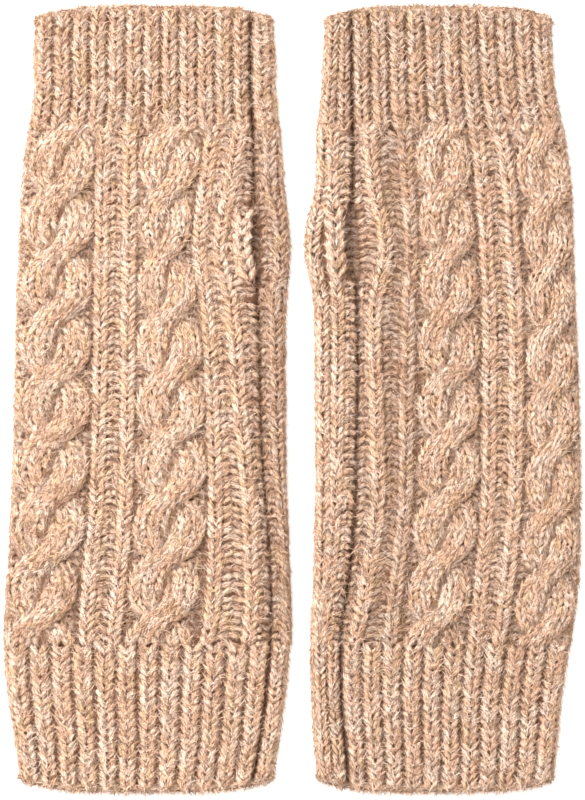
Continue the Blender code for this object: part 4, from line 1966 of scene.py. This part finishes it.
LEFT = MittenShape(
    name="left",
    outline=SmoothTable((
        (151.3, -99.0, -16.0, -7.5),
        (136.0, -100.0, -16.0, -6.5),
        (118.0, -99.8, -16.0, -6.0),
        (103.0, -102.0, -15.0, -4.5),
        (82.0, -104.5, -14.5, -3.0),
        (60.0, -105.5, -15.0, -0.8),
        (35.0, -106.5, -12.8, -2.3),
        (-20.0, -107.6, -11.5, -2.5),
        (-60.0, -109.2, -8.5, -2.0),
        (-90.0, -111.2, -8.0, -0.8),
        (-110.0, -110.5, -9.5, -2.2),
        (-132.0, -107.5, -12.0, -4.5),
        (-151.3, -105.0, -15.5, -7.5),
    )),
    tracks=SmoothTable((
        (103.0, -98.0, -76.0, -72.5, -62.5, -58.3, -34.5, -30.8, -20.4),
        (82.0, -101.0, -77.3, -73.0, -62.5, -58.0, -38.0, -33.2, -24.0),
        (58.0, -102.3, -77.7, -73.3, -62.7, -58.2, -40.0, -35.8, -28.0),
        (35.0, -103.2, -78.0, -73.6, -63.0, -58.5, -36.8, -32.8, -23.2),
        (0.0, -104.8, -78.6, -74.2, -63.3, -58.8, -34.4, -30.8, -20.3),
        (-40.0, -106.8, -80.0, -75.3, -64.2, -59.6, -34.0, -29.6, -16.8),
        (-80.0, -109.6, -84.3, -78.8, -67.5, -62.6, -37.5, -30.5, -15.6),
        (-95.0, -109.6, -84.3, -79.0, -69.0, -64.0, -39.3, -33.0, -17.2),
    )),
    face_ribs=12,
    side_ribs=1,
    outer_crossing=79.5,
    inner_crossing=79.5,
    crossing_pitch=23.4,
    thumb_middle=60.0,
    thumb_half_length=17.5,
    thumb_line=(6.0, 1.7),
    lip_on_face=True,
    valley=0.0,
    side=-1.0,
)

RIGHT = MittenShape(
    name="right",
    outline=SmoothTable((
        (151.3, 100.0, 22.5, 13.0),
        (136.0, 100.5, 23.0, 12.0),
        (118.0, 102.0, 23.0, 11.0),
        (103.0, 105.0, 23.5, 9.5),
        (82.0, 107.7, 23.5, 8.8),
        (60.0, 108.5, 22.8, 4.7),
        (38.0, 109.3, 25.2, 8.2),
        (0.0, 110.8, 25.2, 8.8),
        (-40.0, 111.2, 24.5, 9.0),
        (-70.0, 110.6, 22.0, 8.2),
        (-92.0, 107.8, 19.0, 7.0),
        (-118.0, 104.0, 19.0, 7.5),
        (-138.0, 102.3, 21.0, 8.5),
        (-151.3, 100.5, 21.5, 10.0),
    )),
    tracks=SmoothTable((
        (103.0, 102.0, 84.5, 80.0, 71.0, 66.5, 48.0, 43.5, 29.3),
        (82.0, 106.0, 88.5, 83.5, 73.5, 68.5, 49.0, 44.6, 31.6),
        (58.0, 106.8, 90.0, 85.0, 75.0, 70.0, 50.3, 46.0, 36.0),
        (35.0, 107.5, 91.0, 86.0, 76.0, 71.0, 49.7, 44.9, 31.8),
        (0.0, 108.5, 91.0, 86.3, 76.0, 71.3, 49.5, 44.2, 32.3),
        (-40.0, 109.3, 90.3, 85.6, 75.4, 71.0, 48.5, 43.5, 33.0),
        (-80.0, 107.4, 87.0, 81.7, 72.0, 67.2, 45.0, 39.3, 27.0),
        (-95.0, 105.5, 85.0, 79.5, 70.5, 65.5, 43.5, 37.7, 24.0),
    )),
    face_ribs=11,
    side_ribs=2,
    outer_crossing=74.5,
    inner_crossing=79.5,
    crossing_pitch=23.6,
    thumb_middle=60.0,
    thumb_half_length=15.5,
    thumb_line=(7.6, -4.1),
    lip_on_face=False,
    valley=0.55,
    side=1.0,
)

LEFT_WOOL = WoolFinish(
    "left_wool",
    pale=(0.93, 0.765, 0.64),
    tan=(0.78, 0.525, 0.375),
    rust=(0.70, 0.37, 0.21),
    ochre=(0.83, 0.60, 0.36),
    shade=(0.12, 0.042, 0.015),
)

RIGHT_WOOL = WoolFinish(
    "right_wool",
    pale=(0.91, 0.745, 0.625),
    tan=(0.76, 0.505, 0.36),
    rust=(0.68, 0.355, 0.2),
    ochre=(0.80, 0.57, 0.34),
    shade=(0.10, 0.036, 0.013),
)


def main() -> None:
    """Build the studio and both mittens."""
    logging.basicConfig(level=logging.INFO)
    studio = Studio()
    studio.camera()
    studio.floor()
    studio.lights()
    yarn = MarledYarn().group()
    Mitten(LEFT, LEFT_WOOL, 100).build(yarn)
    Mitten(RIGHT, RIGHT_WOOL, 200).build(yarn)


if __name__ == "__main__":
    main()
